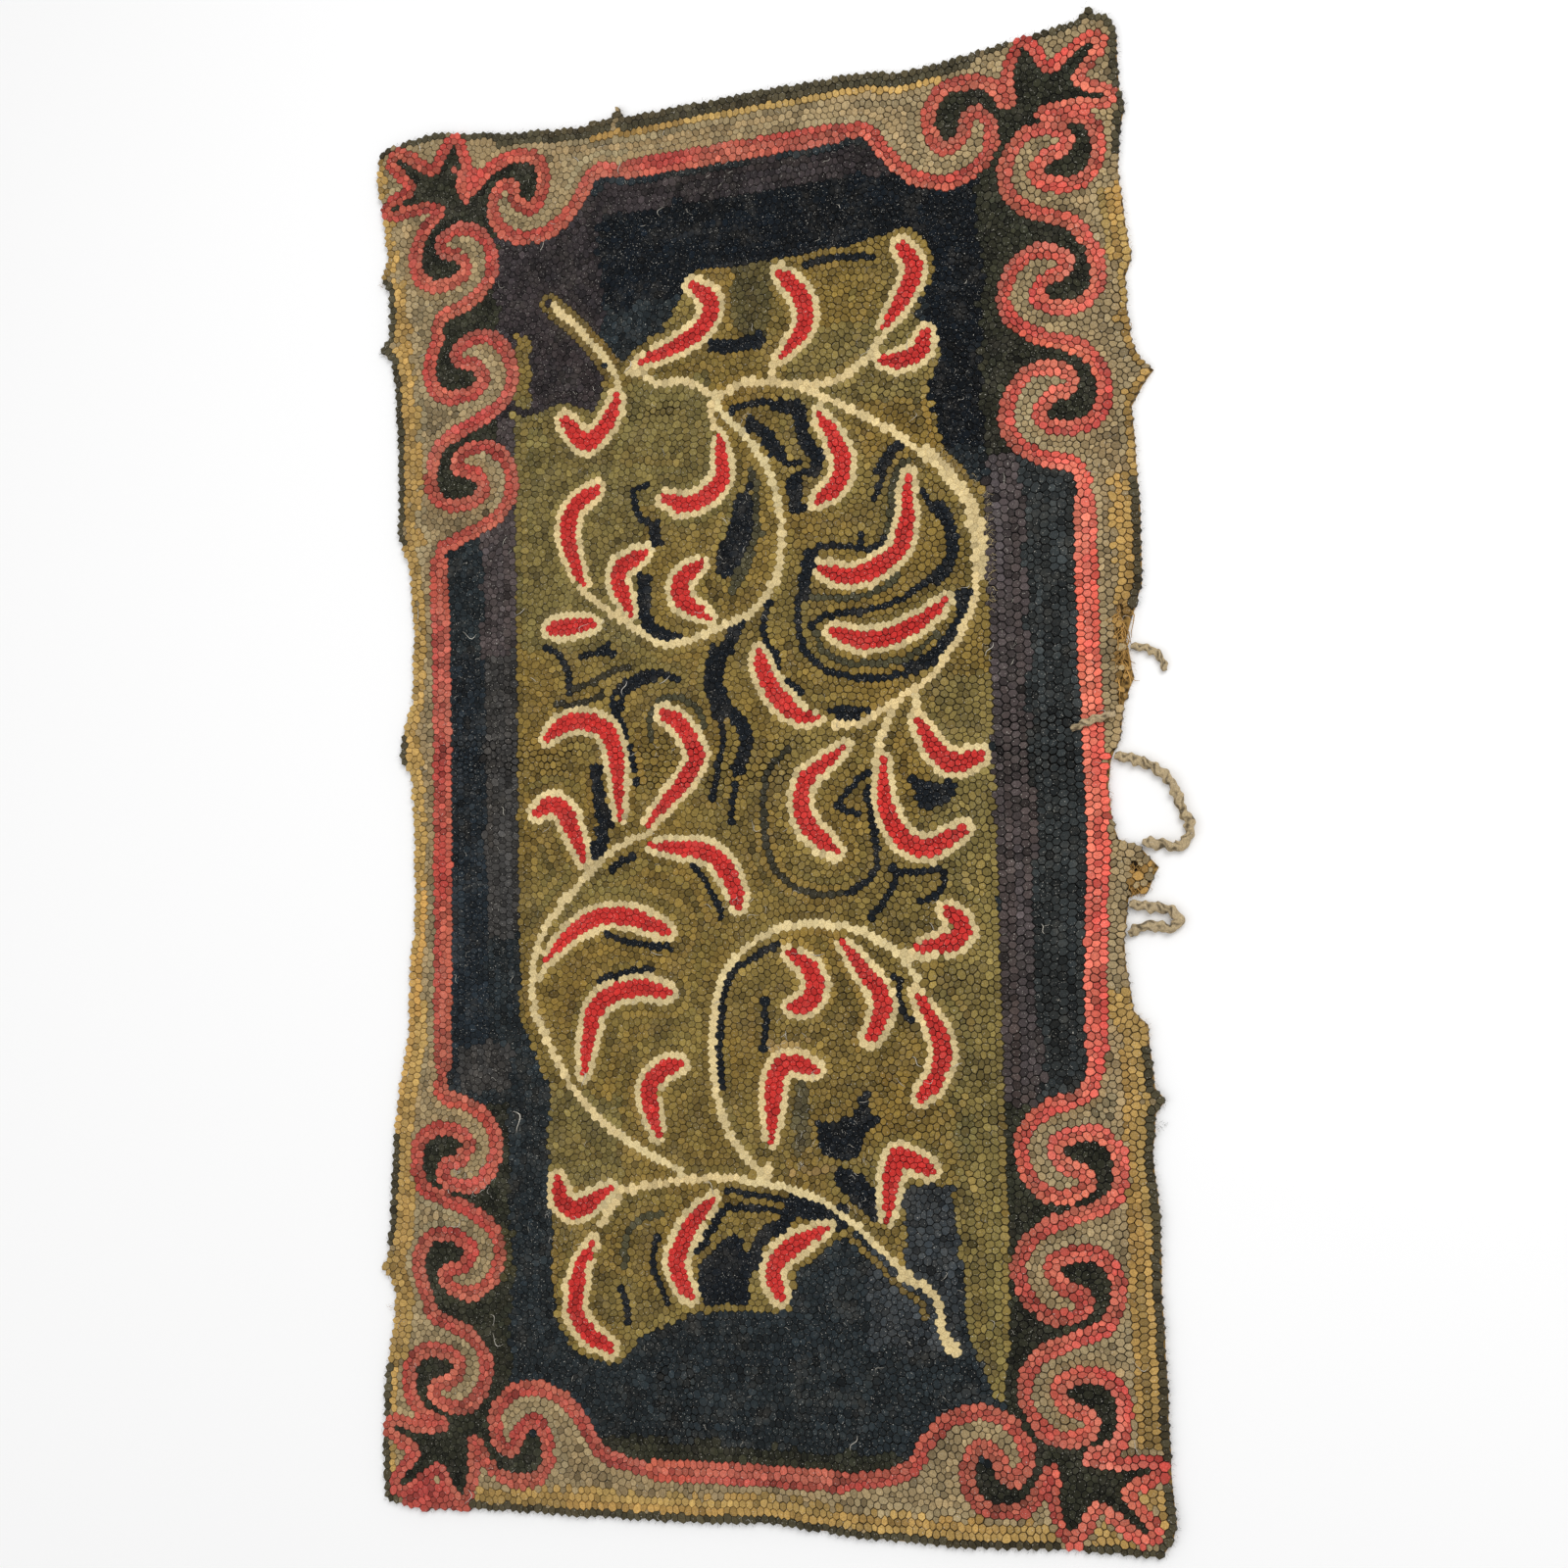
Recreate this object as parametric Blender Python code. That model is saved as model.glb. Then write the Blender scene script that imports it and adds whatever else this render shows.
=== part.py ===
"""Hooked rug: a woven foundation filled with rows of wool strip loops, lying flat.

The rug is one solid. Its outline is uneven: hooked rows pull the cloth in, and the right side has lost
rows to wear. Four strips of wool have pulled loose on that side, and each is a solid of its own.
Units are metres, +Y is the rug's length, +Z is up, and the origin is on the floor under the middle.
"""

import math

import bmesh
import bpy
from mathutils import Vector
from mathutils.geometry import delaunay_2d_cdt

CM = 0.01
MM = 0.001

# The slab of cloth and loops
PILE_TOP = 7.0 * MM  # floor to the tops of the loops
LUMP = 0.45 * MM  # how far the pile's top rises and falls
EDGE_STEP = 9 * MM  # spacing of points along the outline
FRAY = 0.7 * MM  # unevenness of the outline between the table's points
FRAY_WAVES = 7  # waves of the outline's unevenness for each wave of the pile's
FIELD_STEP = 40 * MM  # spacing of points on the pile's top
EDGE_CLEAR = 16 * MM  # the top's own points stay inside a line this far in from the outline
FIELD_CLEAR = 3.2 * MM  # and this far from that line
SHARP_ANGLE = 50  # degrees between faces from which an edge is shaded sharp

# The rounded edge, from the floor up
EDGE_RINGS = (
    # height, how far in from the outline
    (0.0 * MM, 1.6 * MM),
    (2.4 * MM, 0.0 * MM),
    (5.0 * MM, 0.8 * MM),
    (PILE_TOP, 3.4 * MM),
)

# Three crossed waves that make the outline and the pile uneven
WAVES = (
    # share, turns of the wave across and up in radians to the metre, start in radians
    (0.5, 31.0, 17.0, 1.3),
    (0.3, -74.0, 53.0, 0.4),
    (0.2, 137.0, 196.0, 2.2),
)

# How the top's points are joined into triangles
INSIDE_ONLY = 1  # output kind of the triangulation: triangles within the outline
SAME_POINT = 0.0001 * MM

# The four sides of the outline, in centimetres, clockwise from the top left
TOP_EDGE = (
    # across, up
    (-38.2, 67.2),
    (-37.4, 68.2),
    (-34.8, 68.8),
    (-31.0, 69.1),
    (-27.5, 68.4),
    (-23.5, 67.8),
    (-15.5, 67.1),
    (-11.9, 67.5),
    (-11.0, 68.5),
    (-10.2, 67.3),
    (3.0, 67.6),
    (14.5, 67.6),
    (18.0, 67.0),
    (22.0, 67.2),
    (26.5, 67.8),
    (31.5, 68.5),
    (35.0, 69.0),
    (36.1, 70.3),
    (36.9, 69.3),
    (38.2, 68.8),
)
RIGHT_EDGE = (
    # across, up
    (38.8, 67.3),
    (38.9, 62.0),
    (39.3, 60.0),
    (38.7, 57.2),
    (38.5, 54.0),
    (38.9, 50.0),
    (39.4, 46.0),
    (38.8, 44.3),
    (38.8, 40.5),
    (39.2, 38.0),
    (39.9, 36.4),
    (41.0, 35.3),
    (39.9, 33.9),
    (38.9, 32.2),
    (39.1, 28.0),
    (39.3, 22.0),
    (39.2, 16.0),
    (38.3, 13.3),
    (37.6, 11.0),
    (38.2, 7.6),
    (37.2, 5.4),
    (36.8, 2.4),
    (35.8, 0.2),
    (35.5, -2.0),
    (35.8, -5.2),
    (36.2, -6.6),
    (38.0, -7.3),
    (39.7, -9.3),
    (38.7, -11.4),
    (36.9, -12.0),
    (36.4, -15.6),
    (36.5, -18.0),
    (37.0, -21.8),
    (38.2, -23.0),
    (38.6, -28.5),
    (39.5, -29.6),
    (38.6, -30.8),
    (38.2, -34.0),
    (38.6, -40.0),
    (38.5, -46.0),
    (38.7, -54.0),
    (38.7, -61.0),
    (39.0, -65.5),
    (38.6, -67.0),
)
BOTTOM_EDGE = (
    # across, up
    (37.6, -68.4),
    (30.0, -68.3),
    (20.0, -68.8),
    (10.0, -68.6),
    (2.0, -67.9),
    (-4.0, -68.3),
    (-14.0, -68.5),
    (-28.0, -68.6),
    (-33.5, -69.1),
    (-37.7, -68.4),
)
LEFT_EDGE = (
    # across, up
    (-38.0, -66.0),
    (-38.1, -62.5),
    (-37.8, -56.0),
    (-36.9, -51.5),
    (-36.6, -48.6),
    (-37.3, -47.0),
    (-38.2, -46.2),
    (-37.6, -45.0),
    (-37.2, -41.0),
    (-36.8, -33.5),
    (-36.0, -27.5),
    (-35.1, -23.2),
    (-34.9, -17.0),
    (-34.3, -11.5),
    (-34.3, -2.0),
    (-34.7, 2.6),
    (-35.9, 4.3),
    (-35.5, 7.2),
    (-34.5, 10.0),
    (-34.2, 17.0),
    (-34.7, 23.5),
    (-36.0, 27.0),
    (-35.9, 34.0),
    (-36.2, 42.0),
    (-36.7, 45.6),
    (-38.1, 46.7),
    (-37.0, 48.0),
    (-37.0, 52.8),
    (-37.9, 54.3),
    (-37.1, 56.5),
    (-37.7, 61.5),
    (-38.3, 64.5),
)

# The loose strips, rolled up on themselves into soft cords
LOOP_ROUND = 9.0 * MM  # the two strips that hang out as loops
END_ROUND = 6.9 * MM  # the two short ends, slimmer so that they are at least six widths long
FLOOR_CLEAR = 0.15 * MM  # under a strip that lies on the floor
PILE_CLEAR = 0.5 * MM  # over the pile, under the strip that lies on it
STRIP_STEPS = 2  # tube points for each stretch of a route
STRIP_SIDES = 2  # bevel resolution of the tube, for ten sides
LONG_LOOP_ROUTE = (
    # across, up, in centimetres
    (36.10, 0.66),
    (37.5, 0.4),
    (38.5, 0.0),
    (39.6, -0.6),
    (40.7, -1.6),
    (41.4, -2.9),
    (41.8, -4.3),
    (42.4, -5.6),
    (42.1, -7.0),
    (41.2, -7.6),
    (40.1, -7.34),
    (38.25, -7.06),
)
DOUBLED_LOOP_ROUTE = (
    # across, up, in centimetres
    (36.9, -12.5),
    (38.2, -12.7),
    (39.6, -12.9),
    (40.7, -13.3),
    (41.1, -14.1),
    (40.4, -14.7),
    (39.2, -14.5),
    (38.0, -14.5),
    (36.75, -15.12),
)
SHORT_END_ROUTE = (
    # across, up, in centimetres
    (37.89, 10.4),
    (39.0, 10.2),
    (39.9, 9.8),
    (40.5, 9.1),
    (40.8, 8.0),
)
BORDER_END_ROUTE = (
    # across, up, in centimetres
    (36.4, 4.5),
    (35.4, 4.2),
    (34.3, 3.9),
    (33.3, 3.6),
    (32.4, 3.2),
)

# Colours, linear
PILE_COLOUR = (0.085, 0.060, 0.032, 1.0)
STRIP_COLOUR = (0.26, 0.20, 0.13, 1.0)
WOOL_ROUGHNESS = 0.95


def clear_scene():
    for obj in list(bpy.data.objects):
        bpy.data.objects.remove(obj, do_unlink=True)


def wool(name, colour):
    material = bpy.data.materials.new(name)
    material.use_nodes = True
    shader = material.node_tree.nodes["Principled BSDF"]
    shader.inputs["Base Color"].default_value = colour
    shader.inputs["Roughness"].default_value = WOOL_ROUGHNESS
    shader.inputs["Metallic"].default_value = 0.0
    return material


def uneven(x, y):
    """A smooth wander between -1 and 1 over the rug, with waves of 3 to 20 cm."""
    return sum(share * math.sin(across * x + up * y + start) for share, across, up, start in WAVES)


def outline_points():
    """The outline as evenly spaced points, clockwise, in the pattern's own frame."""
    corners = [Vector((x * CM, y * CM)) for x, y in TOP_EDGE + RIGHT_EDGE + BOTTOM_EDGE + LEFT_EDGE]
    points = []
    for here, there in zip(corners, corners[1:] + corners[:1]):
        count = max(1, round((there - here).length / EDGE_STEP))
        side = (there - here).normalized()
        outward = Vector((-side.y, side.x))
        for k in range(count):
            at = here.lerp(there, k / count)
            points.append(at + outward * (FRAY * uneven(FRAY_WAVES * at.x, FRAY_WAVES * at.y) if k else 0.0))
    return points


def inset(points, distance):
    """The clockwise ring moved inwards, square to its neighbours at each point."""
    moved = []
    for before, at, after in zip(points[-1:] + points[:-1], points, points[1:] + points[:1]):
        along = (after - before).normalized()
        moved.append(at + Vector((along.y, -along.x)) * distance)
    return moved


def pile_height(x, y):
    return PILE_TOP + LUMP * uneven(x, y)


def inside(point, ring):
    within = False
    for a, b in zip(ring, ring[1:] + ring[:1]):
        if (a.y > point.y) != (b.y > point.y):
            within ^= point.x < a.x + (point.y - a.y) / (b.y - a.y) * (b.x - a.x)
    return within


def field_points(ring):
    """Staggered points over the pile's top, clear of its edge."""
    low_x, high_x = min(p.x for p in ring), max(p.x for p in ring)
    low_y, high_y = min(p.y for p in ring), max(p.y for p in ring)
    clear = inset(ring, EDGE_CLEAR)
    found = []
    for row in range(int((high_y - low_y) / FIELD_STEP) + 1):
        for column in range(int((high_x - low_x) / FIELD_STEP) + 1):
            at = Vector((low_x + (column + 0.5 * (row % 2)) * FIELD_STEP, low_y + row * FIELD_STEP))
            near = min((at - p).length for p in clear)
            if inside(at, clear) and near > FIELD_CLEAR:
                found.append(at)
    return found


def slab(name, material, outline, middle):
    """One closed body: a flat underside, a rounded edge of rings, and a gently lumpy top."""
    mesh = bmesh.new()
    rings = [
        [mesh.verts.new((p.x, p.y, height)) for p in inset(outline, distance)]
        for height, distance in EDGE_RINGS
    ]
    for lower, upper in zip(rings, rings[1:]):
        for k in range(len(lower)):
            mesh.faces.new((lower[k], lower[k - 1], upper[k - 1], upper[k]))
    mesh.faces.new(rings[0])

    rim = inset(outline, EDGE_RINGS[-1][1])
    field = field_points(rim)
    edges = [(k, (k + 1) % len(rim)) for k in range(len(rim))]
    flat, _, faces, origins, _, _ = delaunay_2d_cdt(rim + field, edges, [], INSIDE_ONLY, SAME_POINT)
    top = []
    for at, source in zip(flat, origins):
        on_rim = source and source[0] < len(rim)
        top.append(rings[-1][source[0]] if on_rim else mesh.verts.new((at.x, at.y, pile_height(at.x, at.y))))
    for face in faces:
        mesh.faces.new([top[k] for k in face])
    bmesh.ops.recalc_face_normals(mesh, faces=mesh.faces)
    bmesh.ops.translate(mesh, vec=(-middle.x, -middle.y, 0.0), verts=mesh.verts)

    data = bpy.data.meshes.new(name)
    mesh.to_mesh(data)
    mesh.free()
    data.materials.append(material)
    data.shade_smooth()
    data.set_sharp_from_angle(angle=math.radians(SHARP_ANGLE))
    obj = bpy.data.objects.new(name, data)
    bpy.context.scene.collection.objects.link(obj)
    return obj


def smooth_route(route, lift):
    """Points on a smooth curve through the route, in metres, with the ends kept."""
    knots = [Vector((x * CM, y * CM, lift)) for x, y in route]
    ends = [2 * knots[0] - knots[1]] + knots + [2 * knots[-1] - knots[-2]]
    points = []
    for a, b, c, d in zip(ends, ends[1:], ends[2:], ends[3:]):
        for k in range(STRIP_STEPS):
            t = k / STRIP_STEPS
            points.append(
                0.5 * (2 * b + (c - a) * t + (2 * a - 5 * b + 4 * c - d) * t**2
                       + (3 * b - a - 3 * c + d) * t**3)
            )
    points.append(knots[-1])
    return points


def loose_strip(name, material, route, thick, under, middle):
    """A pulled wool strip as a closed tube along its route, at a height over the floor."""
    points = smooth_route(route, under + 0.5 * thick)
    curve = bpy.data.curves.new(name, "CURVE")
    curve.dimensions = "3D"
    curve.bevel_depth = 0.5 * thick
    curve.bevel_resolution = STRIP_SIDES
    curve.use_fill_caps = True
    spline = curve.splines.new("POLY")
    spline.points.add(len(points) - 1)
    for target, at in zip(spline.points, points):
        target.co = (at.x - middle.x, at.y - middle.y, at.z, 1.0)
    curve.materials.append(material)
    obj = bpy.data.objects.new(name, curve)
    bpy.context.scene.collection.objects.link(obj)
    return obj


clear_scene()
pile_wool = wool("wool_pile", PILE_COLOUR)
strip_wool = wool("loose_wool", STRIP_COLOUR)
outline = outline_points()
middle = Vector(
    (
        0.5 * (min(p.x for p in outline) + max(p.x for p in outline)),
        0.5 * (min(p.y for p in outline) + max(p.y for p in outline)),
    )
)
slab("hooked_ground", pile_wool, outline, middle)
for name, route, thick, under in (
    ("loose_long_loop", LONG_LOOP_ROUTE, LOOP_ROUND, FLOOR_CLEAR),
    ("loose_doubled_loop", DOUBLED_LOOP_ROUTE, LOOP_ROUND, FLOOR_CLEAR),
    ("loose_short_end", SHORT_END_ROUTE, END_ROUND, FLOOR_CLEAR),
    ("loose_border_end", BORDER_END_ROUTE, END_ROUND, PILE_TOP + PILE_CLEAR),
):
    loose_strip(name, strip_wool, route, thick, under, middle)
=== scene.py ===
"""A worn hooked rug lying flat: wool loops in rows, with a leafy vine on an olive ground, a dark surround,
a rose scroll line and a beige edge. Lengths are metres, and the pattern is laid out in centimetres."""
import math

import bmesh
import bpy
import numpy as np
from mathutils import Matrix, Vector, noise
from mathutils.geometry import delaunay_2d_cdt
from mathutils.kdtree import KDTree


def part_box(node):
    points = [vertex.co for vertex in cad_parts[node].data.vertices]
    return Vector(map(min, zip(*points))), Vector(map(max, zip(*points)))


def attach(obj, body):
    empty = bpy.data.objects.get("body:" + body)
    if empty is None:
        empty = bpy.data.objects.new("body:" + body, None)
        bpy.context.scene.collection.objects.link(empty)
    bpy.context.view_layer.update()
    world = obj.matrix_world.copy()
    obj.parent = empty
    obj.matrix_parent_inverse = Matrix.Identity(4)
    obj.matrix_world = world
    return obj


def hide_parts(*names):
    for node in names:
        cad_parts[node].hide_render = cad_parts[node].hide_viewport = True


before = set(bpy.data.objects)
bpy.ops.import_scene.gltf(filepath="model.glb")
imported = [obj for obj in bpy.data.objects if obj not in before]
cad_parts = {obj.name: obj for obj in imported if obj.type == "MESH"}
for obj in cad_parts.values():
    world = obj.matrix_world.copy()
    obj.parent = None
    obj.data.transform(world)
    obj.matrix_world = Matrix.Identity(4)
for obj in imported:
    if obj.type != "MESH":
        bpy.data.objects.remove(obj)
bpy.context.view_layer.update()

# Camera
# It stands above the rug's right side and looks down across it, as the photograph does.
CAMERA_PLACE = (0.632, -0.178, 1.737)
CAMERA_TURNS = (("Y", 18.97), ("X", 5.29), ("Z", -1.28))  # degrees, the outermost turn first
CAMERA_LENS = 45.0
CAMERA_SENSOR = 36.0

camera_data = bpy.data.cameras.new("camera")
camera_data.lens = CAMERA_LENS
camera_data.sensor_width = CAMERA_SENSOR
camera = bpy.data.objects.new("camera", camera_data)
camera_turn = Matrix.Identity(4)
for axis, degrees in CAMERA_TURNS:
    camera_turn = camera_turn @ Matrix.Rotation(math.radians(degrees), 4, axis)
camera.matrix_world = Matrix.Translation(CAMERA_PLACE) @ camera_turn
bpy.context.scene.collection.objects.link(camera)
bpy.context.scene.camera = camera

# Loose strips
# Four strips of beige wool have pulled out of the worn right side. Each is a strip of cloth rolled up on
# itself, about 9 mm across, still crimped by the loops that it once made.
CM = 0.01
MM = 0.001
PATTERN_CORNER = (-38.3, -69.1)  # lowest across and up of the outline on the pattern's grid, cm
LOOP_ROUND = 9.0 * MM
END_ROUND = 6.9 * MM  # of the two short ends, slimmer so that they are at least six widths long
STRIP_SWELL = 1.16  # share by which the felted wool swells out of its roll
STRIP_LUMP_PITCH = 4.2 * MM  # between the creases that its loops have left
ON_FLOOR = 0.15 * MM  # height of a strip's underside
ON_PILE = 7.5 * MM
STRIP_STEP = 0.8 * MM
STRIP_SIDES = 16
STRIP_CRIMP = 0.9 * MM  # sideways wander of the old loops
STRIP_CRIMP_PITCH = 11.0 * MM
STRIP_TWIST_PITCH = 46.0 * MM
STRIP_FLAT = 0.74  # short side of the rolled strip to its long side
STRIP_COLOUR = "#B09C79"
PAINTED_FOOT_SHADE = (0.05, 0.042, 0.034, 1.0)  # painted shade: how dark a loop is painted towards its foot, and a loose strip in its creases, where shade falls
DUST_TINT = (0.36, 0.31, 0.24, 1.0)
SPECK_TINT = (0.60, 0.57, 0.50, 1.0)  # of the finest lint
SEAM_DEEP = 0.30  # share by which a strip's rolled edge dips
SEAM_WIDE = 0.35  # radians
LUMP_DEEP = 0.34
LUMPS_ROUND = 1.1  # how fast the lumps change round a strip
STRIP_TIP = 0.62  # how thick a strip is at its ends
TIP_STEPS = 6  # steps over which it narrows
LOOSE_STRIPS = (
    # name, far end, how thick, height of the underside, route across and up in cm
    ("loose_long_loop", "object", LOOP_ROUND, ON_FLOOR, (
        (36.10, 0.66), (37.5, 0.4), (38.5, 0.0), (39.6, -0.6), (40.7, -1.6), (41.4, -2.9),
        (41.8, -4.3), (42.4, -5.6), (42.1, -7.0), (41.2, -7.6), (40.1, -7.34), (38.25, -7.06))),
    ("loose_doubled_loop", "object", LOOP_ROUND, ON_FLOOR, (
        (36.9, -12.5), (38.2, -12.7), (39.6, -12.9), (40.7, -13.3), (41.1, -14.1), (40.4, -14.7),
        (39.2, -14.5), (38.0, -14.5), (36.75, -15.12))),
    ("loose_short_end", "bare", END_ROUND, ON_FLOOR, (
        (37.89, 10.4), (39.0, 10.2), (39.9, 9.8), (40.5, 9.1), (40.8, 8.0))),
    ("loose_border_end", "bare", END_ROUND, ON_PILE, (
        (36.4, 4.5), (35.4, 4.2), (34.3, 3.9), (33.3, 3.6), (32.4, 3.2))),
)
ground_low, ground_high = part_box("hooked_ground")


def on_rug(x, y, z=0.0):
    """A point of the pattern, in cm, as a place on the rug in metres."""
    low_x, low_y = PATTERN_CORNER
    return Vector((ground_low.x + (x - low_x) * CM, ground_low.y + (y - low_y) * CM, z))


def linear(code):
    """A colour code such as #8F7E62 as linear red, green and blue."""
    parts = [int(code[k:k + 2], 16) / 255 for k in (1, 3, 5)]
    return np.array([c / 12.92 if c <= 0.04045 else ((c + 0.055) / 1.055) ** 2.4 for c in parts])


def smooth_line(points, step, closed=False):
    """Evenly dense points on a smooth curve through the given ones."""
    knots = [np.array(p, float) for p in points]
    if closed:
        ends = [knots[-1]] + knots + knots[:2]
    else:
        ends = [2 * knots[0] - knots[1]] + knots + [2 * knots[-1] - knots[-2]]
    found = []
    for a, b, c, d in zip(ends, ends[1:], ends[2:], ends[3:]):
        count = max(1, int(np.linalg.norm(c - b) / step))
        for t in np.arange(count) / count:
            slope = (c - a) * t
            bend = (2 * a - 5 * b + 4 * c - d) * t**2
            turn = (3 * b - a - 3 * c + d) * t**3
            found.append(0.5 * (2 * b + slope + bend + turn))
    if not closed:
        found.append(knots[-1])
    return np.array(found)


def add_mesh(name, verts, faces, smooth=True):
    mesh = bpy.data.meshes.new(name)
    mesh.from_pydata([tuple(v) for v in verts], [], faces)
    mesh.update()
    if smooth:
        mesh.shade_smooth()
    obj = bpy.data.objects.new(name, mesh)
    bpy.context.scene.collection.objects.link(obj)
    return obj


def felted_wool_group():
    """Mottled wool: the dyed colour with flecks, dust and painted shade at the roots, and a fibre height for
    the bump.
    """
    group = bpy.data.node_groups.new("felted_wool", "ShaderNodeTree")
    for name, kind, value in (
        ("Wool", "NodeSocketColor", (0.5, 0.5, 0.5, 1)),
        ("Root", "NodeSocketFloat", 0.0),
        ("Fleck Size", "NodeSocketFloat", 900.0),
        ("Fibre Size", "NodeSocketFloat", 2600.0),
        ("Dust", "NodeSocketFloat", 0.1),
        ("Lint", "NodeSocketFloat", 0.75),
    ):
        socket = group.interface.new_socket(name, in_out="INPUT", socket_type=kind)
        socket.default_value = value
    group.interface.new_socket("Colour", in_out="OUTPUT", socket_type="NodeSocketColor")
    group.interface.new_socket("Height", in_out="OUTPUT", socket_type="NodeSocketFloat")
    nodes, links = group.nodes, group.links
    given = nodes.new("NodeGroupInput")
    out = nodes.new("NodeGroupOutput")
    place = nodes.new("ShaderNodeTexCoord")

    def noise_at(size, detail, rough=0.55):
        node = nodes.new("ShaderNodeTexNoise")
        node.inputs["Detail"].default_value = detail
        node.inputs["Roughness"].default_value = rough
        links.new(place.outputs["Object"], node.inputs["Vector"])
        if isinstance(size, float):
            node.inputs["Scale"].default_value = size
        else:
            links.new(size, node.inputs["Scale"])
        return node.outputs["Fac"]

    def maths(kind, first, second):
        node = nodes.new("ShaderNodeMath")
        node.operation = kind
        links.new(first, node.inputs[0])
        links.new(second, node.inputs[1])
        return node.outputs[0]

    def ranged(value, low, high, to_low, to_high):
        node = nodes.new("ShaderNodeMapRange")
        for name, number in (("From Min", low), ("From Max", high), ("To Min", to_low), ("To Max", to_high)):
            node.inputs[name].default_value = number
        links.new(value, node.inputs["Value"])
        return node.outputs["Result"]

    def blended(kind, factor, first, second):
        node = nodes.new("ShaderNodeMix")
        node.data_type = "RGBA"
        node.blend_type = kind
        for name, value in (("Factor", factor), ("A", first), ("B", second)):
            socket = next(s for s in node.inputs if s.name == name and s.enabled)
            if isinstance(value, (float, tuple)):
                socket.default_value = value
            else:
                links.new(value, socket)
        return next(s for s in node.outputs if s.enabled)

    flecks = ranged(noise_at(given.outputs["Fleck Size"], 3.0), 0.3, 0.7, 0.66, 1.34)
    shade = nodes.new("ShaderNodeCombineColor")
    for name in ("Red", "Green", "Blue"):
        links.new(flecks, shade.inputs[name])
    dyed = blended("MULTIPLY", 1.0, given.outputs["Wool"], shade.outputs["Color"])
    worn = maths("MULTIPLY", ranged(noise_at(46.0, 5.0, 0.7), 0.5, 0.75, 0.0, 1.0), given.outputs["Dust"])
    dusty = blended("MIX", worn, dyed, DUST_TINT)
    # Painted shade: the Root share darkens the colour towards the loops' feet and in a strip's creases,
    # where shade falls.
    foot_shaded = blended("MULTIPLY", ranged(given.outputs["Root"], 0.05, 1.0, 0.0, 0.92), dusty, PAINTED_FOOT_SHADE)
    specks = maths("MULTIPLY", ranged(noise_at(820.0, 1.5), 0.672, 0.73, 0.0, 1.0), given.outputs["Lint"])
    linty = blended("MIX", specks, foot_shaded, SPECK_TINT)
    links.new(linty, out.inputs["Colour"])
    links.new(noise_at(given.outputs["Fibre Size"], 2.0, 0.7), out.inputs["Height"])
    return group


felted_wool = felted_wool_group()


def wool_material(name, dust=0.1, bump=0.35, fibre=2600.0):
    """Felted wool in the piece's own colours, with painted shade where the root attribute marks a loop's
    foot or a strip's crease.
    """
    material = bpy.data.materials.new(name)
    material.use_nodes = True
    nodes, links = material.node_tree.nodes, material.node_tree.links
    shader = nodes["Principled BSDF"]
    shader.inputs["Roughness"].default_value = 0.95
    shader.inputs["Specular IOR Level"].default_value = 0.15
    shader.inputs["Sheen Weight"].default_value = 0.05
    shader.inputs["Sheen Roughness"].default_value = 0.6
    wool = nodes.new("ShaderNodeGroup")
    wool.node_tree = felted_wool
    wool.inputs["Dust"].default_value = dust
    wool.inputs["Fibre Size"].default_value = fibre
    dye = nodes.new("ShaderNodeAttribute")
    dye.attribute_name = "wool"
    links.new(dye.outputs["Color"], wool.inputs["Wool"])
    root = nodes.new("ShaderNodeAttribute")
    root.attribute_name = "root"
    links.new(root.outputs["Fac"], wool.inputs["Root"])
    links.new(wool.outputs["Colour"], shader.inputs["Base Color"])
    height = nodes.new("ShaderNodeBump")
    height.inputs["Strength"].default_value = bump
    height.inputs["Distance"].default_value = 0.4 * MM
    links.new(wool.outputs["Height"], height.inputs["Height"])
    links.new(height.outputs["Normal"], shader.inputs["Normal"])
    return material


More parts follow.
